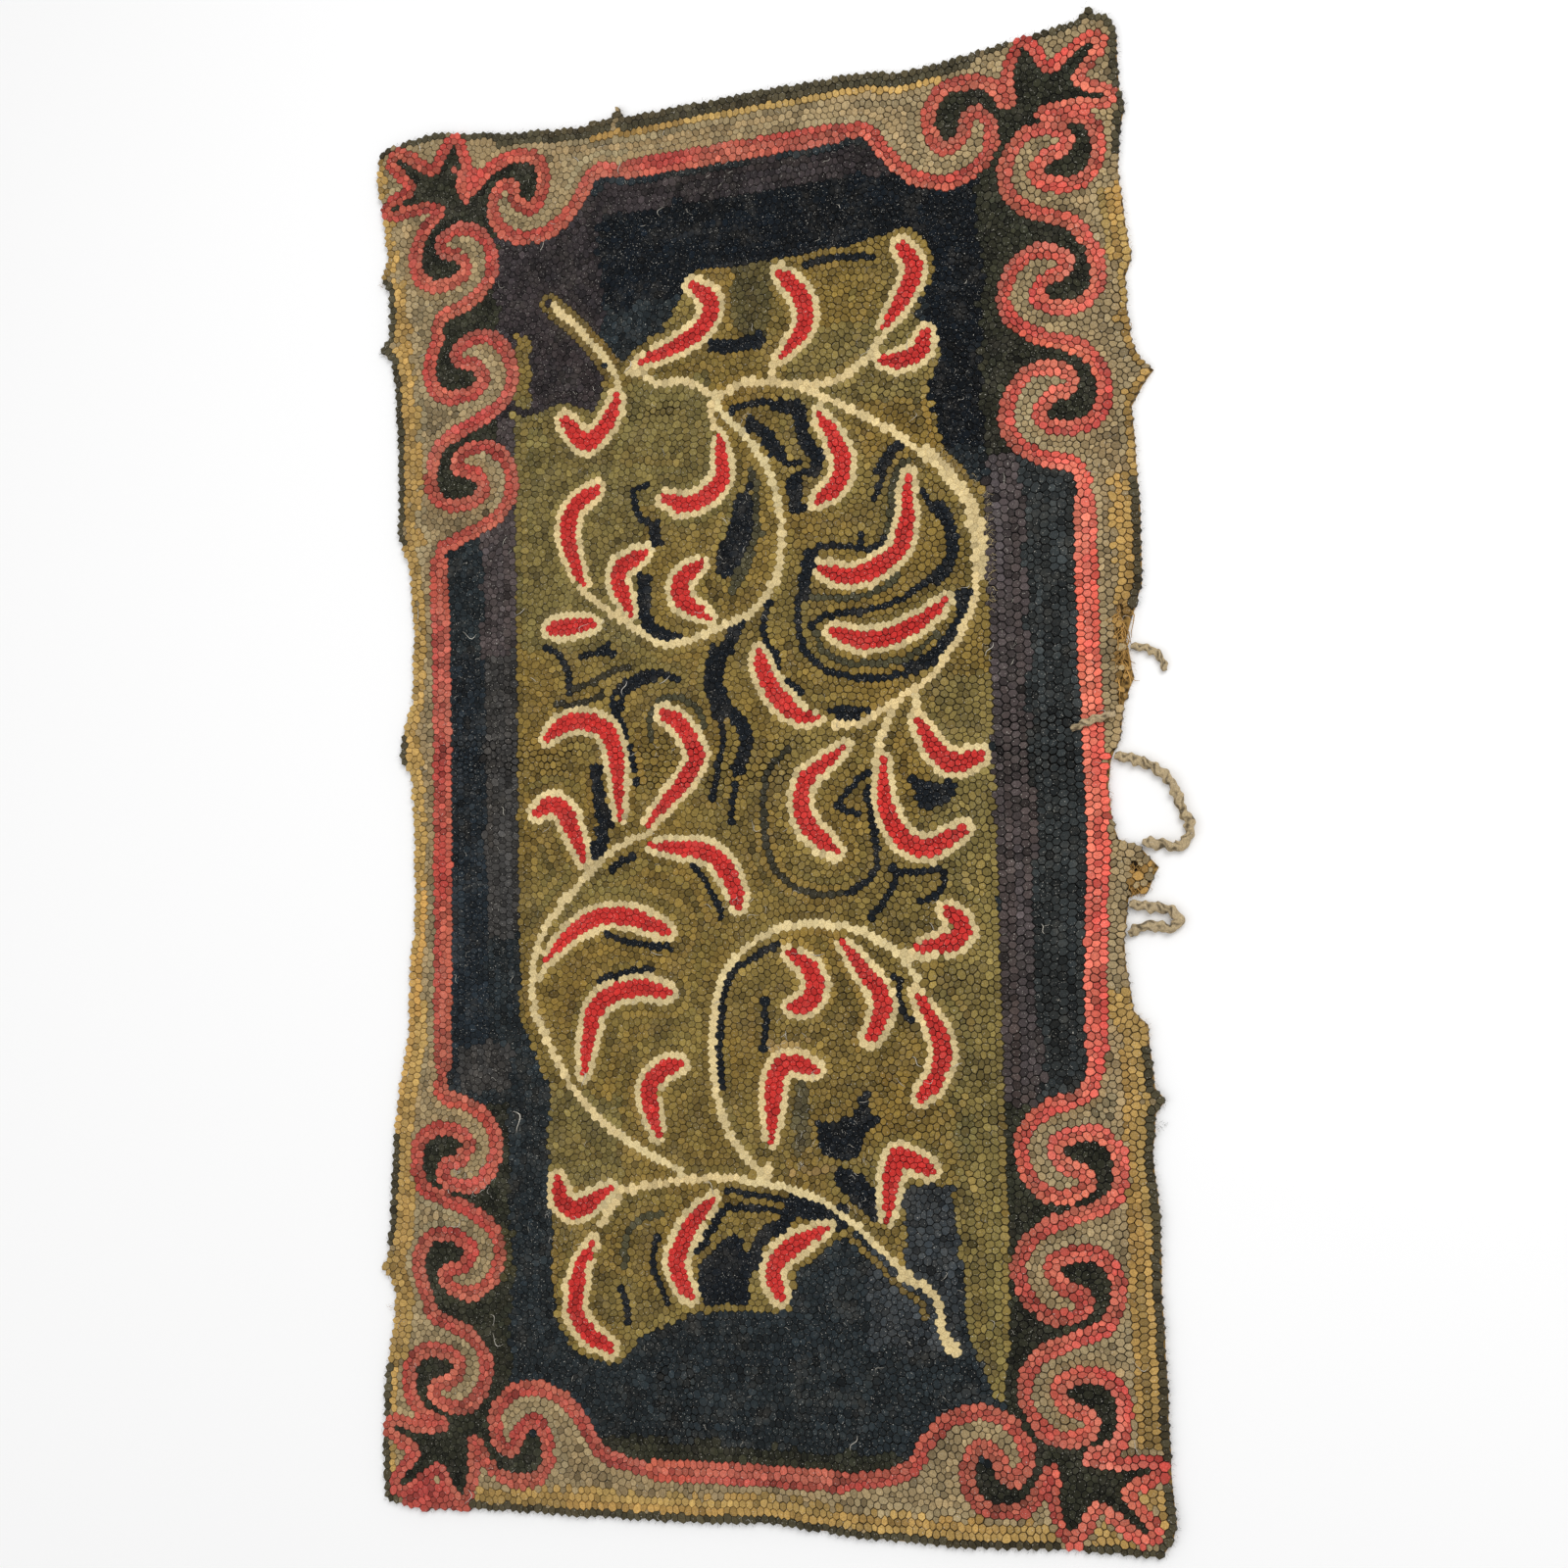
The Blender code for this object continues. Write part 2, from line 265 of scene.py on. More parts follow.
def crimped_strip(name, route, thick, under, material):
    """A rolled strip as a closed tube that wanders and twists along its route, with the line it follows."""
    line = smooth_line([on_rug(x, y, under + 0.5 * thick) for x, y in route], STRIP_STEP)
    verts, faces, crease_shade, run = [], [], [], 0.0
    for k, at in enumerate(line):
        ahead = line[min(k + 1, len(line) - 1)] - line[max(k - 1, 0)]
        ahead = ahead / np.linalg.norm(ahead)
        side = np.array((-ahead[1], ahead[0], 0.0))
        run += STRIP_STEP
        fade = min(1.0, k / TIP_STEPS, (len(line) - 1 - k) / TIP_STEPS)
        wave = math.sin(2 * math.pi * run / STRIP_CRIMP_PITCH)
        middle = at + side * wave * STRIP_CRIMP * fade
        twist = 2 * math.pi * run / STRIP_TWIST_PITCH
        for s in range(STRIP_SIDES):
            angle = 2 * math.pi * s / STRIP_SIDES
            seam = 1.0 - SEAM_DEEP * math.exp(-((angle - math.pi) / SEAM_WIDE) ** 2)
            around = (LUMPS_ROUND * math.cos(angle), LUMPS_ROUND * math.sin(angle) + 9.0 * under / MM)
            lump = noise.noise((run / STRIP_LUMP_PITCH, *around))
            swell = 1.0 + LUMP_DEEP * max(-0.6, lump)
            # Painted shade in the hollows between the lumps and in the dip of the rolled seam, kept as the
            # strip's root share.
            crease_shade.append(min(1.0, max(0.0, -2.2 * lump - 0.1)) + 2.0 * (1.0 - seam))
            reach = 0.5 * thick * STRIP_SWELL * seam * swell * (STRIP_TIP + (1.0 - STRIP_TIP) * fade)
            u, v = reach * math.cos(angle), reach * STRIP_FLAT * math.sin(angle)
            across = u * math.cos(twist) - v * math.sin(twist)
            up = u * math.sin(twist) + v * math.cos(twist)
            spot = middle + side * across + np.array((0.0, 0.0, up))
            spot[2] = max(spot[2], under + 0.1 * MM)
            verts.append(spot)
    rings = len(line)
    for k in range(rings - 1):
        for s in range(STRIP_SIDES):
            a, b = k * STRIP_SIDES + s, k * STRIP_SIDES + (s + 1) % STRIP_SIDES
            faces.append((b, a, a + STRIP_SIDES, b + STRIP_SIDES))
    faces.append(tuple(range(STRIP_SIDES)))
    faces.append(tuple(reversed(range((rings - 1) * STRIP_SIDES, rings * STRIP_SIDES))))
    piece = add_mesh(name + "_wool", verts, faces)
    painted_crease_shade = piece.data.attributes.new("root", "FLOAT", "POINT")
    painted_crease_shade.data.foreach_set("value", np.clip(crease_shade, 0.0, 0.85))
    tints = np.tile((*linear(STRIP_COLOUR), 1.0), len(verts)).astype(np.float32)
    piece.data.attributes.new("wool", "FLOAT_COLOR", "POINT").data.foreach_set("color", tints)
    piece.data.materials.append(material)
    work = bmesh.new()
    work.from_mesh(piece.data)
    bmesh.ops.recalc_face_normals(work, faces=work.faces)
    work.to_mesh(piece.data)
    work.free()
    return piece, line


strip_wool = wool_material("loose_wool", dust=0.25, bump=0.6, fibre=1700.0)
for name, far_end, thick, under, route in LOOSE_STRIPS:
    strip, line = crimped_strip(name, route, thick, under, strip_wool)
    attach(strip, "root")
    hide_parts(name)

# Foundation
# A plain weave of tan jute carries every loop. Its outline is the ground's own, read from the frame, and
# it shows only where the pile has gone on the right side.
CLOTH_TOP = 2.0 * MM
CLOTH_UNDERSIDE = 0.1 * MM
CLOTH_STEP = 20 * MM
CLOTH_THREADS = 480.0  # threads to the metre
CLOTH_COLOUR = "#A88448"
CLOTH_SHADE = "#3A2C18"
PAINTED_CLOTH_SHADE = (0.012, 0.010, 0.008, 1.0)  # painted shade on the cloth between the loops, where no light falls
CLOTH_RIM = 4 * MM  # how near its edge the cloth keeps its own colour, free of the painted shade


def ground_outline():
    """The ring round the ground's underside, on the pattern's grid in cm."""
    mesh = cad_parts["hooked_ground"].data
    edges = set()
    for face in mesh.polygons:
        ring = [tuple(round(c, 6) for c in mesh.vertices[v].co) for v in face.vertices]
        if max(p[2] for p in ring) < 0.5 * MM:
            edges.update(zip(ring, ring[1:] + ring[:1]))
    after = {a: b for a, b in edges if (b, a) not in edges}
    ring = [min(after)]
    while after[ring[-1]] != ring[0]:
        ring.append(after[ring[-1]])
    shift = on_rug(0.0, 0.0)
    return np.array([((x - shift.x) / CM, (y - shift.y) / CM) for x, y, _ in ring])


def jute_material():
    """Plain weave in the nut: over and under threads from two crossed waves, darker in the gaps with painted
    shade, and painted near-black on the top away from the rim, under the pile.
    """
    material = bpy.data.materials.new("jute_cloth")
    material.use_nodes = True
    nodes, links = material.node_tree.nodes, material.node_tree.links
    shader = nodes["Principled BSDF"]
    shader.inputs["Roughness"].default_value = 0.9
    shader.inputs["Specular IOR Level"].default_value = 0.2
    place = nodes.new("ShaderNodeTexCoord")
    threads = []
    for direction in ("X", "Y"):
        wave = nodes.new("ShaderNodeTexWave")
        wave.wave_type = "BANDS"
        wave.bands_direction = direction
        wave.inputs["Scale"].default_value = CLOTH_THREADS / 10
        wave.inputs["Distortion"].default_value = 1.2
        wave.inputs["Detail Scale"].default_value = 2.0
        links.new(place.outputs["Object"], wave.inputs["Vector"])
        threads.append(wave.outputs["Fac"])
    weave = nodes.new("ShaderNodeMath")
    weave.operation = "MAXIMUM"
    for k in range(2):
        links.new(threads[k], weave.inputs[k])
    tone = nodes.new("ShaderNodeValToRGB")
    tone.color_ramp.elements[0].color = (*linear(CLOTH_SHADE), 1.0)
    tone.color_ramp.elements[1].color = (*linear(CLOTH_COLOUR), 1.0)
    links.new(weave.outputs[0], tone.inputs["Fac"])
    # Painted shade: where the bare share is nought, under the pile, the cloth is painted near-black.
    shaded_cloth = nodes.new("ShaderNodeMix")
    shaded_cloth.data_type = "RGBA"
    bare = nodes.new("ShaderNodeAttribute")
    bare.attribute_name = "bare"
    links.new(bare.outputs["Fac"], shaded_cloth.inputs["Factor"])
    shaded_cloth.inputs["A"].default_value = PAINTED_CLOTH_SHADE
    links.new(tone.outputs["Color"], shaded_cloth.inputs["B"])
    links.new(shaded_cloth.outputs["Result"], shader.inputs["Base Color"])
    height = nodes.new("ShaderNodeBump")
    height.inputs["Strength"].default_value = 0.8
    height.inputs["Distance"].default_value = 0.5 * MM
    links.new(weave.outputs[0], height.inputs["Height"])
    links.new(height.outputs["Normal"], shader.inputs["Normal"])
    return material


def cloth_sheet(outline):
    """A flat cloth with a top and an underside, closed round its edge."""
    ring = [on_rug(x, y).to_2d() for x, y in outline]
    edges = [(k, (k + 1) % len(ring)) for k in range(len(ring))]
    field = [
        Vector((x, y))
        for x in np.arange(ground_low.x + CLOTH_STEP, ground_high.x - CLOTH_STEP / 2, CLOTH_STEP)
        for y in np.arange(ground_low.y + CLOTH_STEP, ground_high.y - CLOTH_STEP / 2, CLOTH_STEP)
    ]
    flat, _, faces, _, _, _ = delaunay_2d_cdt(ring + field, edges, [], 1, 1e-7)
    count = len(flat)
    verts = [(p.x, p.y, CLOTH_TOP) for p in flat] + [(p.x, p.y, CLOTH_UNDERSIDE) for p in flat]
    sides = {}
    for face in faces:
        for a, b in zip(face, list(face[1:]) + [face[0]]):
            sides[(a, b)] = True
    rim = [(a, b) for a, b in sides if (b, a) not in sides]
    solid = [tuple(face) for face in faces] + [tuple(k + count for k in reversed(face)) for face in faces]
    solid += [(b, a, a + count, b + count) for a, b in rim]
    piece = add_mesh("jute_cloth", verts, solid, smooth=False)
    work = bmesh.new()
    work.from_mesh(piece.data)
    loose = [v for v in work.verts if not v.link_faces]
    bmesh.ops.delete(work, geom=loose, context="VERTS")
    bmesh.ops.recalc_face_normals(work, faces=work.faces)
    work.to_mesh(piece.data)
    work.free()
    bare = piece.data.attributes.new("bare", "FLOAT", "POINT")
    tree = KDTree(len(ring))
    for k, p in enumerate(ring):
        tree.insert((p.x, p.y, 0.0), k)
    tree.balance()
    for k, vertex in enumerate(piece.data.vertices):
        near = tree.find((vertex.co.x, vertex.co.y, 0.0))[2]
        # Nought marks the top away from the rim, which the cloth's material paints with shade.
        bare.data[k].value = 1.0 if vertex.co.z < 0.5 * CLOTH_TOP or near < CLOTH_RIM else 0.0
    return piece


outline = ground_outline()
cloth = cloth_sheet(outline)
cloth.data.materials.append(jute_material())
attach(cloth, "root")
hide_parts("hooked_ground")

# Vine
# Cream stems one wide row across and red leaves of two or three rows, each with a cream row round it. They
# are hooked first, as a maker follows the drawn lines before filling in, from strips of felted wool that are
# pulled up in loops.
ROW = 0.70  # cm between rows
PITCH = 0.64  # cm between the loops of a row
STEM_PITCH = 0.56  # cm between the loops of a cream stem, packed closer
CELL = 0.2  # cm, the squares that rows are measured on
CLOSEST = 0.49  # cm between any two loops
STEM_ROOM = 0.42  # cm between a cream or shadow loop and any other
RED_ROOM = 0.44
SPINE_ROOM = 0.46
MOTIF_HOLE = 0.42  # cm of room that takes a loop of its own inside a motif
MISSED = 0.025  # cm by which a loop misses its place
LINE_STEP = 0.1  # cm
SNUG = 0.06  # cm by which a new row crowds the last
STEM_SPREAD = 0.17  # cm by which a stem's wider strip pushes its neighbours away
STEM_EVEN = 0.45  # share of the other rows' unevenness in the cream and the red
STRIP_LOOPS = (9, 26)  # loops that one wool strip makes
SHADE_BY_STRIP = 0.12
SHADE_BY_LOOP = 0.14
WARMTH_BY_STRIP = 0.03
LEAF_RED = "#C5302B"
STEM_CREAM = "#D6C08C"
STEMS = (
    ((-18.3, 49), (-15.5, 46.2), (-13, 43.3), (-11.5, 41), (-11.3, 39.5)),
    ((-10.5, 41.2), (-8.7, 40.8), (-7, 39.7), (-4, 39.5), (-1, 37.8), (2, 38.7), (6.5, 38), (10.5, 37.7),
     (13, 38.7), (15, 40.3), (16.3, 42)),
    ((-1, 37.8), (-0.5, 36), (3, 32), (5, 27), (5.2, 21), (2.8, 16.8), (-2, 14.8), (-6.5, 13.9), (-10, 15.8),
     (-14.5, 19), (-15.8, 20.5)),
    ((7.5, 37.6), (12.3, 34.9), (15, 33.3), (18, 31), (20.3, 28.8), (23.3, 24.9), (24.1, 20),
     (24, 16.5), (22.5, 12.8),
     (19.5, 9), (16.3, 7), (13, 5.2), (10, 5)),
    ((19.6, 30.4), (20.8, 29.2), (22.2, 27.5), (23.85, 25.1), (24.6, 22.5), (24.75, 20), (24.6, 17.5)),
    ((16, 7), (15.3, 5), (14.6, 3.5), (14, 1)),
    ((-1.4, 37.2), (-1.5, 35.9), (-1.2, 34.5)),
    ((18, 8), (18.1, 6.4)),
    ((4.5, 38.6), (5, 40.2)),
    ((2.7, -36.8), (2.7, -35)),
    ((-8.5, -4.2), (-12.5, -5.8), (-16.5, -9.3), (-20.3, -14), (-21.2, -20), (-19, -25.2),
     (-15.8, -30), (-11, -33.7),
     (-6.5, -36), (-5.8, -36.9)),
    ((-19.7, -16.5), (-20.7, -18)),
    ((2.5, -36.8), (-1, -32.8), (-2.5, -27.5), (-2.2, -20.5), (0, -16.2), (5, -13.6), (10.5, -13.8),
     (15, -15.8),
     (17.5, -18.7)),
    ((16, -16.3), (17.8, -16.8), (19.5, -16.6)),
    ((-12.9, -38.3), (-5, -36.9), (1.5, -37.1), (6.5, -38.3), (10, -40.1), (13, -42.7), (15.6, -45.1),
     (17.6, -46.3), (18.5, -47.5), (18.8, -49.4), (19.5, -51.8)),
    ((15, -45.2), (16.6, -46.2)),
    ((19.3, -50.4), (20.1, -51.9)),
    ((-12.2, -38.5), (-13.5, -40), (-14.5, -41.5)),
)
STEM_FLANK = ((-18.6, 49.2), (-15.5, 46.2), (-13, 43.3), (-12, 41.6))  # stem with an olive row on each side
STEM_UNDERSIDE = ((10.5, -42), (12.8, -44), (15, -46.2), (16.8, -47.4), (17.3, -49.2))
FLANK_OLIVE = "#6E5A2C"
LEAVES = (
    # spines from the tip to the stem
    ((-3.2, 49), (-1.3, 47), (-2.5, 44.5), (-6, 42.8), (-9, 42)),
    ((5.8, 49), (7.8, 46.5), (8.3, 44), (7, 42), (5.5, 40.6)),
    ((17.8, 50), (19, 48), (18.8, 46.5), (17.3, 44), (16, 42.3)),
    ((20, 41.3), (19.5, 39.7), (17.5, 38.9), (15.5, 39.2)),
    ((-17.3, 37.2), (-14.5, 34.6), (-11.8, 37.5), (-11.5, 39.3)),
    ((-6.5, 28.2), (-4, 27.3), (-0.7, 29.3), (-0.7, 33.7)),
    ((9, 26.5), (11, 27.8), (11.5, 30.5), (9.3, 35)),
    ((-13.7, 29.8), (-16, 28.3), (-16.9, 26), (-16.3, 23), (-15.2, 20.5)),
    ((-8.8, 23), (-11, 22), (-11.5, 20.3), (-10.2, 17)),
    ((-3, 21.3), (-5, 20), (-4.8, 18), (-2, 16)),
    ((-19, 16.3), (-16.5, 16.4), (-14, 16.4)),
    ((9.3, 19.8), (12, 18.9), (15, 19.7), (17.3, 22), (18, 28)),
    ((10.3, 13.8), (13, 12.8), (16, 13), (19, 14.3), (21.3, 16)),
    ((2.8, 12.3), (3.5, 10), (4.8, 7.8), (6.5, 6.2), (8.5, 5.7)),
    ((24, 1.5), (22, 0.8), (20.3, 1.5), (18, 5.3)),
    ((22.2, -5.2), (20.5, -6.2), (18.5, -6.8), (16.5, -5.9), (15.1, -3.5), (14.7, -1), (14.9, 1.6)),
    ((10, -6.8), (7.5, -4.5), (6.8, -2.5), (7.2, 0), (11.2, 3)),
    ((-7.2, 7.2), (-5.5, 6.2), (-4.1, 4), (-4.1, 1.8), (-8.7, -3.3)),
    ((-19.3, 5.5), (-18, 6.6), (-15.5, 7), (-13, 5.8), (-12, 3), (-11.8, -2.7)),
    ((-20.6, -1.8), (-19, -1), (-17.3, -2.3), (-15.6, -6.8)),
    ((0.2, -11.5), (0.2, -10.5), (-1, -8), (-3, -6.3), (-8.5, -5.5)),
    ((-7, -13.7), (-11, -12.2), (-14.5, -12.3), (-17.5, -14), (-19.5, -16)),
    ((-7, -19.5), (-10, -19), (-13, -19.7), (-14.8, -21.5), (-16, -27.3)),
    ((-6, -26.2), (-8, -27), (-9.2, -28.8), (-8.3, -33)),
    ((5.3, -21.1), (6.8, -20.7), (7.7, -19.3), (7, -17.3), (5, -16)),
    ((12.8, -24), (13.8, -22.3), (13.9, -20), (10.5, -15.3)),
    ((17.5, -29.3), (19, -27.5), (19.6, -24.5), (17.3, -20)),
    ((20.5, -12.5), (21.8, -14), (21, -15.3), (17.5, -15.9)),
    ((7.5, -26.8), (5, -26.2), (3.6, -27.5), (3, -33.3)),
    ((18.3, -35.9), (16, -34.8), (14.8, -35.3), (14, -40.3)),
    ((-18.8, -37.2), (-18.3, -39.3), (-16.5, -39.9), (-13.3, -37.8)),
    ((-13.5, -52.8), (-16, -51.3), (-17.1, -49), (-16.5, -45.5), (-15.2, -43)),
    ((-5.3, -47.7), (-6.3, -46), (-6.5, -44), (-5, -41), (-2.7, -38.6)),
    ((3.7, -47.5), (3, -46), (3.3, -44.3), (5.5, -42.5), (8.3, -41.2)),
)
LEAF_HALF = 0.87  # cm, half of the red where a leaf is widest
LEAF_WIDTHS = (
    # share of the way from tip to stem, share of that half
    (0.0, 0.55), (0.12, 0.88), (0.35, 1.0), (0.65, 0.94), (0.88, 0.60), (1.0, 0.28),
)
RED_INSET = 0.31  # cm from the red's rim to its outer row
CREAM_OUTSET = 0.29  # cm from the red's rim to the cream row

rng = np.random.default_rng(12)
grid_x = np.arange(-40.0, 42.5, CELL)
grid_y = np.arange(-71.0, 72.0, CELL)
taken = {}
hooked = []
parts = {}


def cover(ring):
    """The squares inside a closed line, as a grid of yes and no."""
    x0, y0 = np.asarray(ring, float).T
    x1, y1 = np.roll(x0, -1), np.roll(y0, -1)
    inside = np.zeros((len(grid_y), len(grid_x)), bool)
    for j, y in enumerate(grid_y):
        cut = (y0 > y) != (y1 > y)
        crossings = np.sort(x0[cut] + (y - y0[cut]) / (y1[cut] - y0[cut]) * (x1[cut] - x0[cut]))
        inside[j] = np.searchsorted(crossings, grid_x) % 2 == 1
    return inside


def grown(where, squares):
    """A part of the grid with so many squares added all round."""
    wide = where.copy()
    for _ in range(squares):
        side = wide.copy()
        side[1:] |= wide[:-1]
        side[:-1] |= wide[1:]
        side[:, 1:] |= wide[:, :-1]
        side[:, :-1] |= wide[:, 1:]
        wide = side
    return wide


def in_part(where, x, y):
    i = int((x - grid_x[0]) / CELL + 0.5)
    j = int((y - grid_y[0]) / CELL + 0.5)
    return 0 <= i < len(grid_x) and 0 <= j < len(grid_y) and where[j, i]


def tree_of(points):
    tree = KDTree(len(points))
    for k, (x, y) in enumerate(points):
        tree.insert((x, y, 0.0), k)
    tree.balance()
    return tree


def distance_to(points, where):
    """How far each square lies from the nearest of some points, in cm, and not-a-number outside the part."""
    tree = tree_of(points)
    far = np.full(where.shape, np.nan)
    for j, i in zip(*np.nonzero(where)):
        far[j, i] = tree.find((grid_x[i], grid_y[j], 0.0))[2]
    return far


def band_far(line, halves, where):
    """How far each square lies outside a band of changing width round a line, and below nought inside it."""
    far = np.full(where.shape, np.nan)
    j, i = np.nonzero(where)
    across = grid_x[i][:, None] - line[None, :, 0]
    up = grid_y[j][:, None] - line[None, :, 1]
    far[j, i] = (np.hypot(across, up) - halves[None]).min(1)
    return far


def contours(far, level):
    """The lines along which a distance has one value, as lists of points, by marching squares."""
    known = ~np.isnan(far)
    whole = known[:-1, :-1] & known[:-1, 1:] & known[1:, 1:] & known[1:, :-1]
    low = np.where(known, far < level, False)
    kind = (low[:-1, :-1] + 2 * low[:-1, 1:] + 4 * low[1:, 1:] + 8 * low[1:, :-1]) * whole
    width = far.shape[1]
    upright = far.size
    j, i = np.nonzero((kind > 0) & (kind < 15))
    sides = {"b": j * width + i, "t": (j + 1) * width + i, "l": upright + j * width + i,
             "r": upright + j * width + i + 1}
    pairs = {1: ("lb",), 2: ("br",), 3: ("lr",), 4: ("rt",), 5: ("lb", "rt"), 6: ("bt",), 7: ("lt",),
             8: ("lt",), 9: ("bt",), 10: ("br", "lt"), 11: ("rt",), 12: ("lr",), 13: ("br",), 14: ("lb",)}
    joined = {}
    shape = kind[j, i]
    for number, ends in pairs.items():
        chosen = shape == number
        for first, second in ends:
            for a, b in zip(sides[first][chosen].tolist(), sides[second][chosen].tolist()):
                joined.setdefault(a, []).append(b)
                joined.setdefault(b, []).append(a)

    def spot(edge):
        across = edge < upright
        k = edge if across else edge - upright
        row, column = divmod(k, width)
        here = far[row, column]
        there = far[row, column + 1] if across else far[row + 1, column]
        t = (level - here) / (there - here)
        return grid_x[column] + (CELL * t if across else 0.0), grid_y[row] + (0.0 if across else CELL * t)

    lines, used = [], set()
    for start in sorted(joined, key=lambda edge: len(joined[edge])):
        if start in used:
            continue
        line, at = [start], start
        used.add(start)
        while True:
            onward = [e for e in joined[at] if e not in used]
            if not onward:
                break
            at = onward[0]
            used.add(at)
            line.append(at)
        if start in joined[at] and len(line) > 2:
            line.append(start)
        if len(line) > 2:
            lines.append(np.array([spot(edge) for edge in line]))
    return lines


def is_free(x, y, room):
    i, j = math.floor(x), math.floor(y)
    for a in (i - 1, i, i + 1):
        for b in (j - 1, j, j + 1):
            for u, v in taken.get((a, b), ()):
                if (u - x) ** 2 + (v - y) ** 2 < room * room:
                    return False
    return True


def along(row, pitch):
    """Evenly spaced places on a row."""
    gaps = np.hypot(*np.diff(row, axis=0).T)
    reach = np.concatenate([[0.0], np.cumsum(gaps)])
    count = max(1, round(reach[-1] / pitch))
    at = (np.arange(count) + 0.5) * reach[-1] / count
    return np.column_stack([np.interp(at, reach, row[:, 0]), np.interp(at, reach, row[:, 1])])


def hook(rows, dye, where=None, room=CLOSEST, pitch=PITCH, uneven=1.0):
    """Loops pulled evenly along rows where the cloth is still free. Each wool strip keeps its own shade."""
    loops = []
    for row in rows:
        strip_end, before = 0, None
        for k, (x, y) in enumerate(along(row, pitch)):
            if k >= strip_end:
                shade = uneven * rng.normal(0.0, SHADE_BY_STRIP)
                warm = uneven * rng.normal(0.0, WARMTH_BY_STRIP)
                warmth = np.array((1.0 + warm, 1.0, 1.0 - warm))
                strip_end = k + rng.integers(*STRIP_LOOPS)
            x += rng.normal(0.0, MISSED)
            y += rng.normal(0.0, MISSED)
            if where is not None and not in_part(where, x, y) or not is_free(x, y, room):
                before = None
                continue
            taken.setdefault((math.floor(x), math.floor(y)), []).append((x, y))
            hooked.append((x, y))
            if before is not None:
                hooked.extend(before + t * (np.array((x, y)) - before) for t in np.arange(0.15, 1.0, 0.15))
            before = np.array((x, y))
            colour = dye(x, y) * warmth * (1.0 + shade + uneven * rng.normal(0.0, SHADE_BY_LOOP))
            loops.append((x, y, *np.clip(colour, 0.0, 1.0)))
    return loops


def near_points(points, where):
    """Those of the points that lie in or close to a part of the grid."""
    wide = grown(where, 8)
    return [p for p in points if in_part(wide, p[0], p[1])]


def patch(where, dye, hole=0.45):
    """Small single loops in the holes that the rows leave."""
    spots = near_points([p for places in taken.values() for p in places], where)
    far = distance_to(spots, where)
    loops = []
    order = sorted(((far[j, i], i, j) for j, i in zip(*np.nonzero(far > hole))), reverse=True)
    for _, i, j in order:
        x, y = grid_x[i], grid_y[j]
        if is_free(x, y, hole):
            taken.setdefault((math.floor(x), math.floor(y)), []).append((x, y))
            colour = dye(x, y) * (1.0 + rng.normal(0.0, SHADE_BY_LOOP))
            loops.append((x, y, *np.clip(colour, 0.0, 1.0)))
    return loops


def fill(where, dye, edge=None, row=ROW, pitch=PITCH):
    """Rows that echo what is already hooked, and a part's own edge, until the part is full."""
    wide = grown(where, 3)
    far = distance_to(near_points(hooked, where), wide)
    if edge is not None:
        far = np.fmin(far, distance_to(edge, wide) + 0.5 * row)
    loops = []
    for k in range(1, int(np.nanmax(far) / row) + 2):
        loops += hook(contours(far, k * row - SNUG), dye, where, pitch=pitch)
    return loops + patch(where, dye, 0.64 * row)


def dyed(code):
    colour = linear(code)
    return lambda x, y: colour


def spread_stem(line):
    """Push the rows to come away from a stem, and leave no hole beside it for a loop of another colour."""
    lead = np.gradient(line, axis=0)
    lead /= np.hypot(*lead.T)[:, None]
    aside = STEM_SPREAD * np.column_stack([-lead[:, 1], lead[:, 0]])
    hooked.extend([*(line + aside), *(line - aside)])
    for x, y in line[1:-1:2]:
        taken.setdefault((math.floor(x), math.floor(y)), []).append((x, y))


vine = []
for route in STEMS:
    line = smooth_line(route, LINE_STEP)
    vine += hook([line], dyed(STEM_CREAM), room=STEM_ROOM, pitch=STEM_PITCH, uneven=STEM_EVEN)
for route in STEMS:
    spread_stem(smooth_line(route, LINE_STEP))
flank = smooth_line(STEM_FLANK, LINE_STEP)
beside_stem = contours(distance_to(flank, cover(((-21, 40), (-10, 40), (-10, 52), (-21, 52)))), 1.1 * ROW)
vine += hook(beside_stem, dyed(FLANK_OLIVE))
vine += hook([smooth_line(STEM_UNDERSIDE, LINE_STEP)], dyed(FLANK_OLIVE))
for route in LEAVES:
    spine = smooth_line(route, LINE_STEP)
    shares = np.interp(np.linspace(0.0, 1.0, len(spine)), *zip(*LEAF_WIDTHS))
    low, high = spine.min(0) - 2.0, spine.max(0) + 2.0
    near = cover([low, (high[0], low[1]), high, (low[0], high[1])])
    far = band_far(spine, LEAF_HALF * shares, near)
    vine += hook(contours(far, -RED_INSET), dyed(LEAF_RED), room=RED_ROOM, uneven=STEM_EVEN)
    vine += hook([spine], dyed(LEAF_RED), room=SPINE_ROOM, uneven=STEM_EVEN)
    vine += patch(far < -0.1, dyed(LEAF_RED), MOTIF_HOLE)
    rim = contours(far, CREAM_OUTSET)
    vine += hook(rim, dyed(STEM_CREAM), room=STEM_ROOM, pitch=STEM_PITCH, uneven=STEM_EVEN)
parts["vine_rows"] = vine

